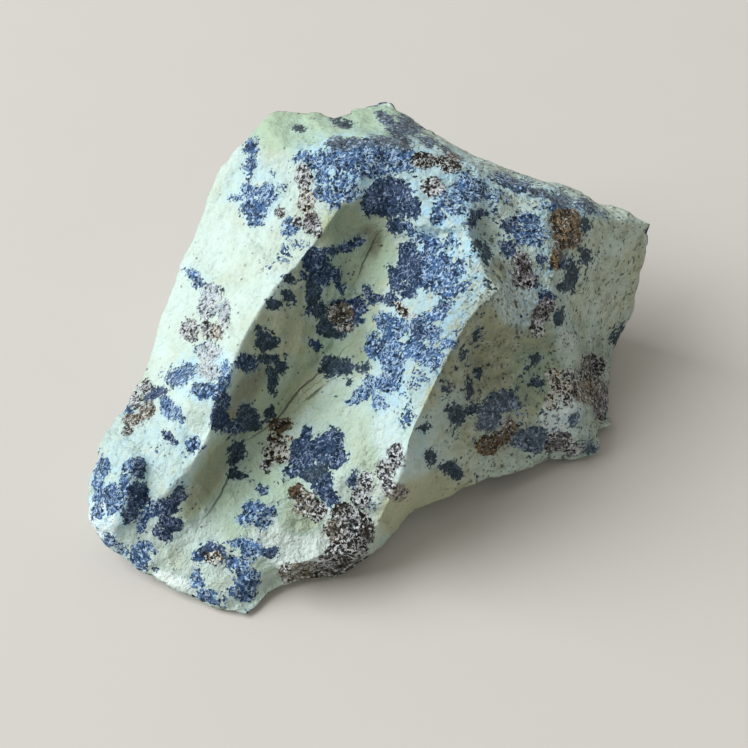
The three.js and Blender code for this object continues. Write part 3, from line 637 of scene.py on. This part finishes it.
class Wiring:
    """One shader tree, with short ways to add and join its nodes."""

    def __init__(self, tree: bpy.types.NodeTree) -> None:
        """Takes a tree and empties it."""
        self.tree = tree
        tree.nodes.clear()

    def feed(self, socket: Socket, value: object) -> None:
        """Joins a socket to another one, or sets it to a plain value.

        Args:
            socket: the input.
            value: an output socket, a number or a colour.
        """
        if isinstance(value, bpy.types.NodeSocket):
            self.tree.links.new(value, socket)
        elif isinstance(value, tuple) and len(value) == 3 and socket.type == "RGBA":
            socket.default_value = (*value, 1.0)
        else:
            socket.default_value = value

    def add(self, kind: str, feeds: dict[str, object] | None = None, **settings: object) -> bpy.types.Node:
        """Adds a node.

        Args:
            kind: the node's Blender type.
            feeds: what goes into its named inputs.
            **settings: the node's own properties.

        Returns:
            The node.
        """
        node = self.tree.nodes.new(kind)
        for name, value in settings.items():
            setattr(node, name, value)
        for name, value in (feeds or {}).items():
            self.feed(node.inputs[name], value)
        return node

    def math(self, operation: str, *values: object) -> Socket:
        """Adds a Math node.

        Args:
            operation: the sum to do.
            *values: its inputs, in order.

        Returns:
            The result.
        """
        node = self.add("ShaderNodeMath", operation=operation)
        for socket, value in zip(node.inputs, values):
            self.feed(socket, value)
        return node.outputs[0]

    def vector(self, operation: str, *values: object) -> Socket:
        """Adds a Vector Math node.

        Args:
            operation: the sum to do.
            *values: its vector inputs, in order; for SCALE the second is the number.

        Returns:
            The result, which is a number for DOT_PRODUCT.
        """
        node = self.add("ShaderNodeVectorMath", operation=operation)
        sockets = (node.inputs[0], node.inputs["Scale"]) if operation == "SCALE" else node.inputs
        for socket, value in zip(sockets, values):
            self.feed(socket, value)
        return node.outputs["Value" if operation == "DOT_PRODUCT" else "Vector"]

    def times(self, first: object, second: object) -> Socket:
        """Multiplies two numbers."""
        return self.math("MULTIPLY", first, second)

    def plus(self, first: object, second: object) -> Socket:
        """Adds two numbers."""
        return self.math("ADD", first, second)

    def linear(self, value: object, slope: object, start: object) -> Socket:
        """Multiplies a value by a slope and adds a start."""
        return self.math("MULTIPLY_ADD", value, slope, start)

    def mix(self, share: object, first: object, second: object) -> Socket:
        """Mixes two colours.

        Args:
            share: how much of the second there is.
            first: the colour at 0.
            second: the colour at 1.

        Returns:
            The mixed colour.
        """
        node = self.add("ShaderNodeMix", data_type="RGBA")
        for index, value in ((0, share), (6, first), (7, second)):
            self.feed(node.inputs[index], value)
        return node.outputs[2]

    def stacked(self, base: object, *layers: tuple[object, object]) -> Socket:
        """Lays colours over one another.

        Args:
            base: the colour at the bottom.
            *layers: the share and the colour of each one over it, in order.

        Returns:
            The colour that comes out.
        """
        for share, colour in layers:
            base = self.mix(share, base, colour)
        return base

    def blend(self, share: object, first: object, second: object) -> Socket:
        """Mixes two numbers.

        Args:
            share: how much of the second there is.
            first: the number at 0.
            second: the number at 1.

        Returns:
            The mixed number.
        """
        node = self.add("ShaderNodeMix", data_type="FLOAT")
        for index, value in ((0, share), (2, first), (3, second)):
            self.feed(node.inputs[index], value)
        return node.outputs[0]

    def step(self, value: object, low: object, high: object) -> Socket:
        """Adds a smooth rise from 0 to 1.

        Args:
            value: what is measured.
            low: where the rise begins.
            high: where it ends.

        Returns:
            The share, from 0 to 1.
        """
        feeds = {"Value": value, "From Min": low, "From Max": high}
        node = self.add("ShaderNodeMapRange", feeds, interpolation_type="SMOOTHSTEP")
        return node.outputs["Result"]

    def place(self, size: object, seed: float = 0.0) -> Socket:
        """Gives the place on the piece.

        Args:
            size: the length in millimetres that counts as 1.
            seed: moves the place.

        Returns:
            The place.
        """
        coordinates = self.add("ShaderNodeTexCoord").outputs["Object"]
        place = self.vector("SCALE", coordinates, self.math("DIVIDE", 1.0 / MM, size))
        return self.vector("ADD", place, (seed, seed, seed))

    def swell(self, size: object, detail: float = 2.0, seed: float = 0.0) -> Socket:
        """Adds smooth noise.

        Args:
            size: the length of one swell in millimetres.
            detail: how many finer layers there are.
            seed: moves the noise.

        Returns:
            The noise, centred on 0 and seldom beyond 0.4 either way.
        """
        feeds = {"Vector": self.place(size, seed), "Scale": 1.0, "Detail": detail, "Roughness": 0.6}
        node = self.add("ShaderNodeTexNoise", feeds)
        return self.math("SUBTRACT", node.outputs[0], 0.5)

    def cells(self, place: Socket) -> bpy.types.NodeOutputs:
        """Adds a Voronoi node, whose cells are 1 across in the units of its place."""
        return self.add("ShaderNodeTexVoronoi", {"Vector": place, "Scale": 1.0}).outputs

    def mark(self, name: str, output: str = "Fac") -> Socket:
        """Reads one of the mesh's attributes."""
        return self.add("ShaderNodeAttribute", attribute_name=name).outputs[output]

    def parts(self, colour: Socket) -> bpy.types.NodeOutputs:
        """Splits a colour into its three numbers."""
        return self.add("ShaderNodeSeparateColor", {"Color": colour}).outputs


@dataclass(frozen=True)
class Effect:
    """A shader node group with named inputs and outputs, built once."""

    name: str
    inputs: dict[str, float]
    outputs: dict[str, str]

    def open(self) -> tuple[Wiring, bpy.types.NodeOutputs, bpy.types.NodeInputs]:
        """Starts the group.

        Returns:
            Its wiring, the sockets that its inputs come from and those that its outputs go to.
        """
        tree = bpy.data.node_groups.new(self.name, "ShaderNodeTree")
        for name, value in self.inputs.items():
            socket = tree.interface.new_socket(name=name, in_out="INPUT", socket_type="NodeSocketFloat")
            socket.default_value = value
        for name, kind in self.outputs.items():
            tree.interface.new_socket(name=name, in_out="OUTPUT", socket_type=f"NodeSocket{kind}")
        wiring = Wiring(tree)
        return wiring, wiring.add("NodeGroupInput").outputs, wiring.add("NodeGroupOutput").inputs

    def use(self, wiring: Wiring, **feeds: object) -> bpy.types.NodeOutputs:
        """Places the group in a material or in another group.

        Args:
            wiring: the tree that it goes into.
            **feeds: its inputs, with _ for each space in a name.

        Returns:
            What the group puts out.
        """
        named = {name.replace("_", " "): value for name, value in feeds.items()}
        return wiring.add("ShaderNodeGroup", named, node_tree=bpy.data.node_groups[self.name]).outputs


RAGGED_EDGE = Effect(
    "Ragged Edge",
    {"Depth": 0.0, "Wobble": 0.5, "Grit": 0.5, "Grain Size": 0.25},
    {"Mask": "Float"},
)
# The second output marks painted glints: bright edges and shards that the materials paint near white,
# standing in for light off the crystals' facets. Sparkle sets how many there are.
CRYSTAL_GRAIN = Effect(
    "Crystal Grain",
    {"Grain Size": 0.3, "Crinkle": 0.3, "Sparkle": 0.5, "Gaps": 0.3},
    {"Shade": "Float", "Painted Glint": "Float", "Gap": "Float", "Height": "Float"},
)


def build_ragged_edge() -> None:
    """Builds the effect that breaks the rim of a patch into wobbles and loose grains."""
    wiring, given, result = RAGGED_EDGE.open()
    size = given["Grain Size"]
    broad = wiring.swell(wiring.times(size, 6.0), detail=3.0)
    wobble = wiring.times(broad, wiring.times(given["Wobble"], 2.0))
    chance = wiring.parts(wiring.cells(wiring.place(size))["Color"])
    fine = wiring.swell(wiring.times(size, 1.4), detail=2.0, seed=7.0)
    loose = wiring.plus(wiring.math("SUBTRACT", chance[0], 0.5), fine)
    depth = wiring.plus(wiring.plus(given["Depth"], wobble), wiring.times(loose, given["Grit"]))
    wiring.feed(result["Mask"], wiring.step(depth, -0.03, 0.05))


def build_crystal_grain() -> None:
    """Builds the effect of packed crystals: leaning flat grains with a crinkled skin."""
    wiring, given, result = CRYSTAL_GRAIN.open()
    size, painted_glint_share = given["Grain Size"], given["Sparkle"]
    warp = wiring.add("ShaderNodeTexNoise", {"Vector": wiring.place(size), "Scale": 0.7, "Detail": 1.0})
    place = wiring.vector("ADD", wiring.place(size), wiring.vector("SCALE", warp.outputs["Color"], 1.4))
    cells = wiring.cells(place)
    chance = wiring.parts(cells["Color"])
    crinkle = wiring.swell(wiring.times(size, 0.7), detail=3.0, seed=17.0)
    shade = wiring.linear(wiring.math("SUBTRACT", chance[0], 0.5), 0.5, 0.42)
    wiring.feed(result["Shade"], wiring.linear(crinkle, 1.6, shade))
    # Painted glints: thin bright edges along the noise's zero lines, and bright shards among the cells.
    ridge = wiring.math("ABSOLUTE", wiring.swell(wiring.times(size, 1.15), detail=1.5, seed=23.0))
    painted_edge_glint = wiring.step(ridge, wiring.times(painted_glint_share, 0.06), wiring.times(painted_glint_share, 0.015))
    lively = wiring.step(wiring.swell(wiring.times(size, 3.5), detail=2.0, seed=29.0), -0.15, 0.12)
    fleck = wiring.swell(wiring.times(size, 0.75), detail=3.0, seed=31.0)
    odds = wiring.linear(painted_glint_share, 0.15, wiring.linear(chance[2], 0.12, fleck))
    painted_shard = wiring.step(odds, 0.25, 0.29)
    wiring.feed(result["Painted Glint"], wiring.math("MAXIMUM", wiring.times(painted_edge_glint, lively), painted_shard))
    below = wiring.linear(given["Gaps"], -0.4, wiring.plus(fleck, 0.2))
    wiring.feed(result["Gap"], wiring.step(below, 0.03, -0.03))
    lean = wiring.vector("SUBTRACT", cells["Color"], (0.5, 0.5, 0.5))
    slope = wiring.vector("DOT_PRODUCT", lean, wiring.vector("SUBTRACT", place, cells["Position"]))
    crinkled = wiring.times(crinkle, wiring.times(given["Crinkle"], 12.0))
    wiring.feed(result["Height"], wiring.plus(wiring.linear(slope, 3.0, chance[1]), crinkled))


def dressed(name: str, finish: Callable[[Wiring], dict[str, object]]) -> bpy.types.Material:
    """Builds a material round a Principled shader.

    Args:
        name: the material's name.
        finish: adds the nodes, and gives what goes into the shader.

    Returns:
        The material.
    """
    material = bpy.data.materials.new(name)
    material.use_nodes = True
    wiring = Wiring(material.node_tree)
    shader = wiring.add("ShaderNodeBsdfPrincipled", finish(wiring))
    wiring.add("ShaderNodeOutputMaterial", {"Surface": shader.outputs["BSDF"]})
    return material


@dataclass(frozen=True)
class StoneFinish:
    """Pale serpentine with its blue mineral and its ore."""

    mint: Colour = (0.585, 0.725, 0.675)
    # Pale: the rock's real light mottle, and painted light on facets turned to the lamp, with a painted
    # highlight on the top bead.
    pale: Colour = (0.84, 0.94, 0.89)
    # Olive-green: the rock's own tone, and also painted warm shade on faces turned from the lamp.
    sage: Colour = (0.50, 0.525, 0.35)
    green: Colour = (0.40, 0.53, 0.385)
    # Dark olive: the rock's real stains and mottle, and painted shade on the valley walls, the bowl and the
    # front faces.
    umber_and_painted_shade: Colour = (0.20, 0.20, 0.13)
    mottle: Colour = (0.42, 0.50, 0.41)
    wash: Colour = (0.39, 0.66, 0.84)
    speck: Colour = (0.05, 0.06, 0.075)
    freckle: Colour = (0.13, 0.14, 0.11)
    blue_black: Colour = (0.006, 0.022, 0.055)
    cobalt: Colour = (0.078, 0.18, 0.39)
    # Painted glints on the blue: near-white grains that stand in for light off the crystals' facets.
    cobalt_painted_glint: Colour = (0.58, 0.79, 0.98)
    navy: Colour = (0.038, 0.078, 0.16)
    navy_painted_glint: Colour = (0.40, 0.50, 0.70)
    slate: Colour = (0.14, 0.18, 0.195)
    ink: Colour = (0.035, 0.062, 0.062)
    ore_gap: Colour = (0.034, 0.029, 0.024)
    # Painted glints on the ore: near-white grains that stand in for light off the metal's facets.
    ore_painted_glint: Colour = (0.93, 0.99, 1.0)

    roughness: float = 0.68
    blue_polish: float = 0.27
    ore_polish: float = 0.36
    reflection: float = 0.25

    bump: float = 0.22
    cloud_size: float = 4.0
    leaf_size: float = 2.0
    grain_size: float = 0.9
    grit_size: float = 0.5
    stain_size: float = 1.9
    freckle_size: float = 0.55
    dot_size: float = 0.42
    fibre_width: float = 0.22
    fibre_stretch: float = 0.14
    crystal_size: float = 0.4
    blue_height: float = 0.6
    ore_height: float = 0.7
    rim_grain: float = 0.22
    ore_rim_grain: float = 0.3

    crack_sway: float = 0.25
    crack_edge: Span = (0.09, 0.02)
    crack_depth: float = 1.5
    crack_shade: float = 0.6

    def material(self) -> bpy.types.Material:
        """Builds the material, which reads the stone's attributes."""
        return dressed("serpentine_with_blue_and_ore", self.surface)

    def surface(self, wiring: Wiring) -> dict[str, object]:
        """Lays the blue mineral, the ore and the cracks over the rock.

        Args:
            wiring: the material's tree.

        Returns:
            What goes into the shader.
        """
        rock, height = self.rock(wiring)
        blue, blue_mask, blue_height = self.blue(wiring)
        ore, ore_mask, ore_height, metal = self.ore(wiring)
        crack = self.crack(wiring)
        height = wiring.blend(ore_mask, wiring.blend(blue_mask, height, blue_height), ore_height)
        height = wiring.linear(crack, -self.crack_depth, height)
        bump = wiring.add("ShaderNodeBump", {"Height": height, "Distance": self.bump * MM, "Strength": 1.0})
        layers = ((blue_mask, blue), (ore_mask, ore), (wiring.times(crack, self.crack_shade), self.speck))
        roughness = wiring.linear(blue_mask, -self.blue_polish, self.roughness)
        return {
            "Base Color": wiring.stacked(rock, *layers),
            "Roughness": wiring.linear(ore_mask, -self.ore_polish, roughness),
            "Metallic": metal,
            "Specular IOR Level": self.reflection,
            "Normal": bump.outputs["Normal"],
        }

    def rock(self, wiring: Wiring) -> tuple[Socket, Socket]:
        """Adds the pale rock.

        Args:
            wiring: the material's tree.

        Returns:
            Its colour and its fine height.
        """
        # The zones' values: olive-green tint, painted shade past 1 and painted light below 0.
        tint_and_painted_shade, specks = wiring.mark("sage"), wiring.mark("specks")
        cloud = wiring.linear(tint_and_painted_shade, 0.6, wiring.swell(self.cloud_size, detail=3.0, seed=3.0))
        leaf = wiring.swell(self.leaf_size, detail=3.0, seed=37.0)
        leafy = wiring.linear(leaf, 0.8, wiring.mark("green"))
        grit = wiring.swell(self.grit_size, detail=5.0, seed=11.0)
        rough = wiring.times(wiring.mark("rough"), 0.5)
        stain = wiring.swell(self.stain_size, detail=4.0, seed=73.0)
        stain = wiring.times(wiring.step(stain, -0.02, 0.3), specks)
        grain = wiring.swell(self.grain_size, detail=6.0, seed=71.0)
        near = wiring.step(wiring.mark("blue"), -0.9, 0.1)
        patchy = wiring.step(wiring.swell(self.grain_size, detail=4.0, seed=5.0), -0.25, 0.2)
        fibre = self.fibres(wiring)
        freckle = wiring.step(wiring.swell(self.freckle_size, detail=4.0, seed=51.0), 0.10, 0.17)
        freckle = wiring.times(freckle, wiring.times(specks, 1.9))
        colour = wiring.stacked(
            self.mint,
            (wiring.step(cloud, -0.15, 0.5), self.sage),
            (wiring.step(leafy, 0.0, 1.0), self.green),
            # Painted shade: dark olive where the zones' values pass 1.
            (wiring.step(tint_and_painted_shade, 1.0, 2.0), self.umber_and_painted_shade),
            (wiring.times(wiring.step(grit, -0.05, 0.3), rough), self.mottle),
            (wiring.times(stain, 1.2), self.umber_and_painted_shade),
            (wiring.times(wiring.step(grain, 0.0, 0.22), specks), self.umber_and_painted_shade),
            (wiring.times(wiring.step(grain, -0.02, -0.25), specks), self.pale),
            # Painted light: pale where the zones' values fall below 0, with a painted highlight on the top
            # bead.
            (wiring.step(tint_and_painted_shade, -0.1, -1.0), self.pale),
            (wiring.times(wiring.linear(near, 0.25, wiring.mark("wash")), patchy), self.wash),
            (wiring.step(fibre, 0.05, 0.35), self.mottle),
            (freckle, self.freckle),
            (self.dots(wiring), self.speck),
        )
        height = wiring.linear(fibre, -2.5, wiring.times(wiring.times(grit, rough), 4.4))
        return colour, wiring.linear(freckle, -0.8, height)

    def dots(self, wiring: Wiring) -> Socket:
        """Adds small round dots, more of them where there are specks.

        Args:
            wiring: the material's tree.

        Returns:
            Where the dots are.
        """
        cells = wiring.cells(wiring.place(self.dot_size, seed=2.0))
        chance = wiring.parts(cells["Color"])
        dot = wiring.step(cells["Distance"], wiring.linear(chance[1], 0.34, 0.18), 0.13)
        chosen = wiring.step(wiring.plus(chance[0], wiring.mark("specks")), 0.93, 1.0)
        return wiring.times(wiring.times(dot, chosen), 0.75)

    def fibres(self, wiring: Wiring) -> Socket:
        """Adds upright fibres.

        Args:
            wiring: the material's tree.

        Returns:
            How deep each place lies between them.
        """
        along = wiring.vector("MULTIPLY", wiring.place(self.fibre_width), (1.0, 1.0, self.fibre_stretch))
        node = wiring.add("ShaderNodeTexNoise", {"Vector": along, "Scale": 1.0, "Detail": 2.0})
        gap = wiring.times(wiring.math("SUBTRACT", node.outputs[0], 0.42), 1.6)
        return wiring.times(wiring.math("MAXIMUM", gap, 0.0), wiring.mark("fibre"))

    def blue(self, wiring: Wiring) -> tuple[Socket, Socket, Socket]:
        """Adds the blue mineral.

        Args:
            wiring: the material's tree.

        Returns:
            Its colour, where it is, and its height.
        """
        rim = self.rim_grain
        solid = RAGGED_EDGE.use(wiring, Depth=wiring.mark("blue"), Wobble=0.75, Grit=0.4, Grain_Size=rim)
        dust = RAGGED_EDGE.use(wiring, Depth=wiring.mark("dust"), Wobble=1.1, Grit=1.0, Grain_Size=rim)
        navy = wiring.mark("navy")
        painted_glint_share = wiring.linear(navy, -0.2, 0.78)
        size = self.crystal_size
        grain = CRYSTAL_GRAIN.use(wiring, Grain_Size=size, Crinkle=0.3, Sparkle=painted_glint_share, Gaps=0.35)
        colour = wiring.stacked(
            self.blue_black,
            (wiring.step(grain["Shade"], 0.18, 0.54), wiring.mix(navy, self.cobalt, self.navy)),
            (wiring.times(wiring.mark("slate"), 0.65), self.slate),
            (wiring.times(grain["Gap"], 0.7), self.blue_black),
            # Painted glints: near-white grains over the blue.
            (wiring.times(grain["Painted Glint"], 0.8), wiring.mix(navy, self.cobalt_painted_glint, self.navy_painted_glint)),
            (wiring.times(wiring.mark("ink"), 0.6), self.ink),
        )
        mask = wiring.math("MAXIMUM", solid["Mask"], dust["Mask"])
        return colour, mask, wiring.times(grain["Height"], self.blue_height)

    def ore(self, wiring: Wiring) -> tuple[Socket, ...]:
        """Adds the metal-bright ore.

        Args:
            wiring: the material's tree.

        Returns:
            Its colour, where it is, its height, and how metallic it is.
        """
        rim, size = self.ore_rim_grain, self.crystal_size
        edge = RAGGED_EDGE.use(wiring, Depth=wiring.mark("ore"), Wobble=0.35, Grit=0.3, Grain_Size=rim)
        painted_shine, gaps = wiring.mark("painted_shine"), wiring.mark("gaps")
        grain = CRYSTAL_GRAIN.use(wiring, Grain_Size=size, Crinkle=0.4, Sparkle=painted_shine, Gaps=gaps)
        tint, painted_glint = wiring.mark("ore_tint", "Color"), grain["Painted Glint"]
        colour = wiring.stacked(
            self.ore_gap,
            (wiring.step(grain["Shade"], 0.1, 0.6), tint),
            (grain["Gap"], self.ore_gap),
            # Painted glints: near-white grains over the ore, made less metallic so that the lamp lights
            # them.
            (painted_glint, wiring.mix(0.78, tint, self.ore_painted_glint)),
        )
        metal = wiring.times(edge["Mask"], wiring.linear(painted_glint, -0.62, 0.65))
        return colour, edge["Mask"], wiring.times(grain["Height"], self.ore_height), metal

    def crack(self, wiring: Wiring) -> Socket:
        """Adds the thin cracks.

        Args:
            wiring: the material's tree.

        Returns:
            Where they are.
        """
        waver = wiring.times(wiring.swell(0.6, detail=2.0, seed=41.0), self.crack_sway)
        gap = wiring.math("ABSOLUTE", wiring.plus(wiring.mark("crack"), waver))
        return wiring.times(wiring.step(gap, *self.crack_edge), wiring.mark("crack_strength"))


# The red, green and blue of each ore, how many painted glints it has, and how much black lies between its
# crystals.
ORE_LOOKS = {
    Mineral.BLACK: (0.15, 0.13, 0.105, 0.75, 0.58),
    Mineral.BRONZE: (0.33, 0.285, 0.215, 0.8, 0.28),
    Mineral.GOLD: (0.54, 0.43, 0.20, 1.15, 0.48),
    Mineral.SILVER: (0.34, 0.38, 0.42, 1.1, 0.48),
    Mineral.PINK: (0.28, 0.26, 0.29, 0.6, 0.35),
    Mineral.RUST: (0.25, 0.175, 0.095, 0.3, 0.2),
    Mineral.SILVER_PAINTED_LIT: (0.46, 0.62, 0.72, 1.35, 0.22),
}
# The share of navy, of slate and of ink in each blue.
BLUE_TONES = {
    Mineral.COBALT: (0.0, 0.0, 0.0),
    Mineral.NAVY: (1.0, 0.0, 0.0),
    Mineral.SLATE: (0.7, 1.0, 0.0),
    Mineral.INK: (1.0, 0.0, 1.0),
    Mineral.DUST: (0.2, 0.0, 0.0),
}


@dataclass
class Stone:
    """The whole lump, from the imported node's skin."""

    node: str = "stone"
    body: str = "root"
    slot: str = "serpentine"
    creases: Numbers = (20.0, 34.0)
    swells: Rows = ((2.4, 42.4, 0.14), (1.2, 41.2, 0.12), (0.65, 40.65, 0.09))
    chipping: Rows = ((3.0, 10.0, 0.5), (1.3, 8.3, 0.25))
    back_blue: Rows = ((3.4, 5.0, 1.0), (1.5, 9.0, 0.55))
    back_blue_level: float = 0.30
    back_ore: Rows = ((3.0, 21.0, 1.0), (1.4, 25.0, 0.5))
    back_ore_level: float = 0.52
    back_depth: float = 2.2
    back_veins: Rows = ((4.0, 33.0, 1.0),)
    back_navy: Span = (-0.3, 0.3)
    back_painted_shine: float = 0.7
    back_gaps: float = 0.4
    right_faces: Span = (4.0, 9.0)
    near_blue: Span = (-2.2, 0.2)
    strays: float = -0.95
    strays_near_blue: float = 0.30
    strays_on_right: float = 0.22
    dust_thinning: float = 0.45
    specks: float = 0.05
    specks_on_right: float = 0.40
    green: float = 0.15
    mineral_rim: Span = (-0.1, 0.3)
    ore_swell: Rows = ((0.75, 61.0, 0.22),)
    ore_rise: float = 0.05
    blue_swell: Rows = ((0.7, 67.0, 0.12),)
    crack_depth: float = 0.12
    crack_half_width: float = 0.5
    foot_fade: Span = (0.02, 0.9)

    def build(self, sighting: Sighting) -> bpy.types.Object:
        """Builds the stone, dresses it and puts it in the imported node's place.

        Args:
            sighting: the view that its face is laid out from.

        Returns:
            The piece.
        """
        skin = Skin.of_node(self.node)
        floor = skin.points[:, 2].min()
        for crease in self.creases:
            skin = skin.subdivided(crease)
        chart = FaceMap(skin, sighting)
        marks = self.marks(chart)
        skin.points = self.relieved(chart, marks, floor)
        piece = self.mesh_object(skin, marks)
        piece.data.materials.append(StoneFinish().material())
        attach(piece, self.body)
        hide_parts(self.node)
        LOG.info("%s: %d points, %d triangles", piece.name, len(skin.points), len(skin.triangles))
        return piece

    def marks(self, chart: FaceMap) -> dict[str, np.ndarray]:
        """Lays the minerals, specks and cracks over the skin.

        Args:
            chart: the skin's face map.

        Returns:
            The values of each mesh attribute.
        """
        points, front = chart.skin.points, chart.front
        back = 1.0 - front
        blue = chart.spread((Mineral.COBALT, Mineral.NAVY, Mineral.SLATE, Mineral.INK))
        hidden_blue = (layered(points, self.back_blue) - self.back_blue_level) * self.back_depth
        hidden_ore = (layered(points, self.back_ore) - self.back_ore_level) * self.back_depth
        veined = layered(points, self.back_veins)
        navy, slate, ink = chart.blended(BLUE_TONES).T
        looks = chart.blended(ORE_LOOKS)
        back_look = np.where(veined[:, None] > 0, ORE_LOOKS[Mineral.SILVER], ORE_LOOKS[Mineral.BRONZE])
        gap, strength = chart.cracks()
        right_faces = eased(*self.right_faces, chart.places[:, 0]) * front
        strays = self.strays + self.strays_near_blue * eased(*self.near_blue, blue)
        strays += self.strays_on_right * right_faces
        dust = np.maximum(chart.spread((Mineral.DUST,)) - self.dust_thinning, strays)
        return {
            "blue": blue * front + hidden_blue * back,
            "dust": dust * front + strays * back,
            # The olive-green tint with painted shade and painted light, from the zones.
            "sage": chart.zoned("sage"),
            "wash": chart.zoned("wash"),
            "fibre": chart.zoned("fibre"),
            "green": chart.zoned("green", usual=self.green),
            "rough": chart.zoned("relief", usual=1.0),
            "ore": chart.spread(ORE_LOOKS) * front + hidden_ore * back,
            "navy": navy * front + eased(*self.back_navy, veined) * back,
            "slate": slate * front,
            "ink": ink * front,
            "ore_tint": (looks * front[:, None] + back_look * back[:, None])[:, :3],
            "specks": self.specks + self.specks_on_right * right_faces,
            "painted_shine": looks[:, 3] * front + self.back_painted_shine * back,
            "gaps": looks[:, 4] * front + self.back_gaps * back,
            "crack": gap,
            "crack_strength": strength,
        }

    def relieved(self, chart: FaceMap, marks: dict[str, np.ndarray], floor: float) -> np.ndarray:
        """Gives the skin its small broken relief, and keeps its foot flat.

        Args:
            chart: the skin's face map.
            marks: the attributes, for the minerals' own relief.
            floor: the height of the foot.

        Returns:
            The points' new places.
        """
        points, normals = chart.skin.points, chart.skin.normals()
        lift = layered(points, self.swells)
        lift += sum(chips(points, length, seed) * height for length, seed, height in self.chipping)
        lift = lift * marks["rough"]
        lift += eased(*self.mineral_rim, marks["ore"]) * (layered(points, self.ore_swell) + self.ore_rise)
        lift += eased(*self.mineral_rim, marks["blue"]) * layered(points, self.blue_swell)
        gap = eased(self.crack_half_width, 0.0, np.abs(marks["crack"]))
        lift -= gap * marks["crack_strength"] * self.crack_depth
        above = eased(*self.foot_fade, points[:, 2] - floor)
        moved = points + normals * (lift * above)[:, None]
        moved[:, 2] = np.maximum(moved[:, 2], floor)
        return moved

    def mesh_object(self, skin: Skin, marks: dict[str, np.ndarray]) -> bpy.types.Object:
        """Makes the Blender object.

        Args:
            skin: its skin.
            marks: its attributes, numbers or colours.

        Returns:
            The object, shaded smooth.
        """
        mesh = bpy.data.meshes.new("serpentine_lump")
        mesh.from_pydata((skin.points * MM).tolist(), [], skin.triangles.tolist())
        for name, values in marks.items():
            if values.ndim == 1:
                layer = mesh.attributes.new(name, "FLOAT", "POINT")
                layer.data.foreach_set("value", values.astype(np.float32))
            else:
                layer = mesh.attributes.new(name, "FLOAT_COLOR", "POINT")
                rgba = np.concatenate([values, np.ones((len(values), 1))], axis=1)
                layer.data.foreach_set("color", rgba.astype(np.float32).reshape(-1))
        mesh.shade_smooth()
        mesh.update()
        piece = bpy.data.objects.new("serpentine_lump", mesh)
        bpy.context.scene.collection.objects.link(piece)
        return piece


@dataclass(frozen=True)
class FloorFinish:
    """Plain pale board."""

    colour: Colour = (0.60, 0.57, 0.53)
    patch: Colour = (0.50, 0.46, 0.42)
    patch_size: float = 9.0
    roughness: float = 0.8

    def material(self) -> bpy.types.Material:
        """Builds the material."""
        return dressed("pale_floor", self.surface)

    def surface(self, wiring: Wiring) -> dict[str, object]:
        """Adds a faint mottle.

        Args:
            wiring: the material's tree.

        Returns:
            What goes into the shader, for a matt surface.
        """
        mottle = wiring.step(wiring.swell(self.patch_size, detail=3.0), -0.4, 0.4)
        colour = wiring.mix(wiring.times(mottle, 0.06), self.colour, self.patch)
        return {"Base Color": colour, "Roughness": self.roughness}


@dataclass
class Studio:
    """The floor, the light and the camera."""

    sighting: Sighting
    focal_length: float = 67.38
    sensor: float = 36.0
    key_power: float = 20.7
    key_colour: Colour = (0.94, 0.97, 1.0)
    key_side: float = 1008.0
    key_distance: float = 1200.0
    key_direction: tuple[float, float, float] = (-0.613, 0.4345, 0.66)
    fill_colour: Colour = (0.385, 0.375, 0.35)
    floor_side: float = 9000.0

    def build(self) -> None:
        """Sets up the whole studio."""
        self.floor()
        self.key_light()
        self.fill_light()
        self.camera()
        bpy.context.scene.view_settings.view_transform = "Standard"

    def floor(self) -> None:
        """Lays the floor at the foot of the stone."""
        half = self.floor_side / 2.0 * MM
        level = CAD_BOX[0].z
        corners = [(-half, -half, level), (half, -half, level), (half, half, level), (-half, half, level)]
        mesh = bpy.data.meshes.new("floor")
        mesh.from_pydata(corners, [], [(0, 1, 2, 3)])
        mesh.materials.append(FloorFinish().material())
        floor = bpy.data.objects.new("floor", mesh)
        bpy.context.scene.collection.objects.link(floor)

    def key_light(self) -> None:
        """Hangs one soft light up on the left."""
        light = bpy.data.lights.new("key_light", "AREA")
        light.energy = self.key_power
        light.color = self.key_colour
        light.size = self.key_side * MM
        place = Vector(self.sighting.target) + Vector(self.key_direction).normalized() * self.key_distance
        self.aim(bpy.data.objects.new("key_light", light), place)

    def fill_light(self) -> None:
        """Fills the shade evenly."""
        world = bpy.data.worlds.new("soft_room")
        world.use_nodes = True
        background = world.node_tree.nodes["Background"]
        background.inputs["Color"].default_value = (*self.fill_colour, 1.0)
        background.inputs["Strength"].default_value = 1.0
        bpy.context.scene.world = world

    def camera(self) -> None:
        """Puts the camera at the eye of the sighting."""
        lens = bpy.data.cameras.new("camera")
        lens.lens = self.focal_length
        lens.sensor_width = self.sensor
        lens.clip_start = 0.005
        camera = bpy.data.objects.new("camera", lens)
        self.aim(camera, Vector(self.sighting.eye()))
        bpy.context.scene.camera = camera

    def aim(self, thing: bpy.types.Object, place: Vector) -> None:
        """Puts a lamp or a camera in its place, and turns it to the target.

        Args:
            thing: the lamp or the camera.
            place: where it goes, in millimetres.
        """
        bpy.context.scene.collection.objects.link(thing)
        look = Vector(self.sighting.target) - place
        turn = look.to_track_quat("-Z", "Y").to_matrix().to_4x4()
        thing.matrix_world = Matrix.Translation(place * MM) @ turn


def main() -> None:
    """Builds the studio and the stone."""
    logging.basicConfig(level=logging.INFO, format="%(name)s: %(message)s")
    build_ragged_edge()
    build_crystal_grain()
    sighting = Sighting()
    Studio(sighting).build()
    LOG.info("studio: floor, key light, fill and camera")
    Stone().build(sighting)


if __name__ == "__main__":
    main()
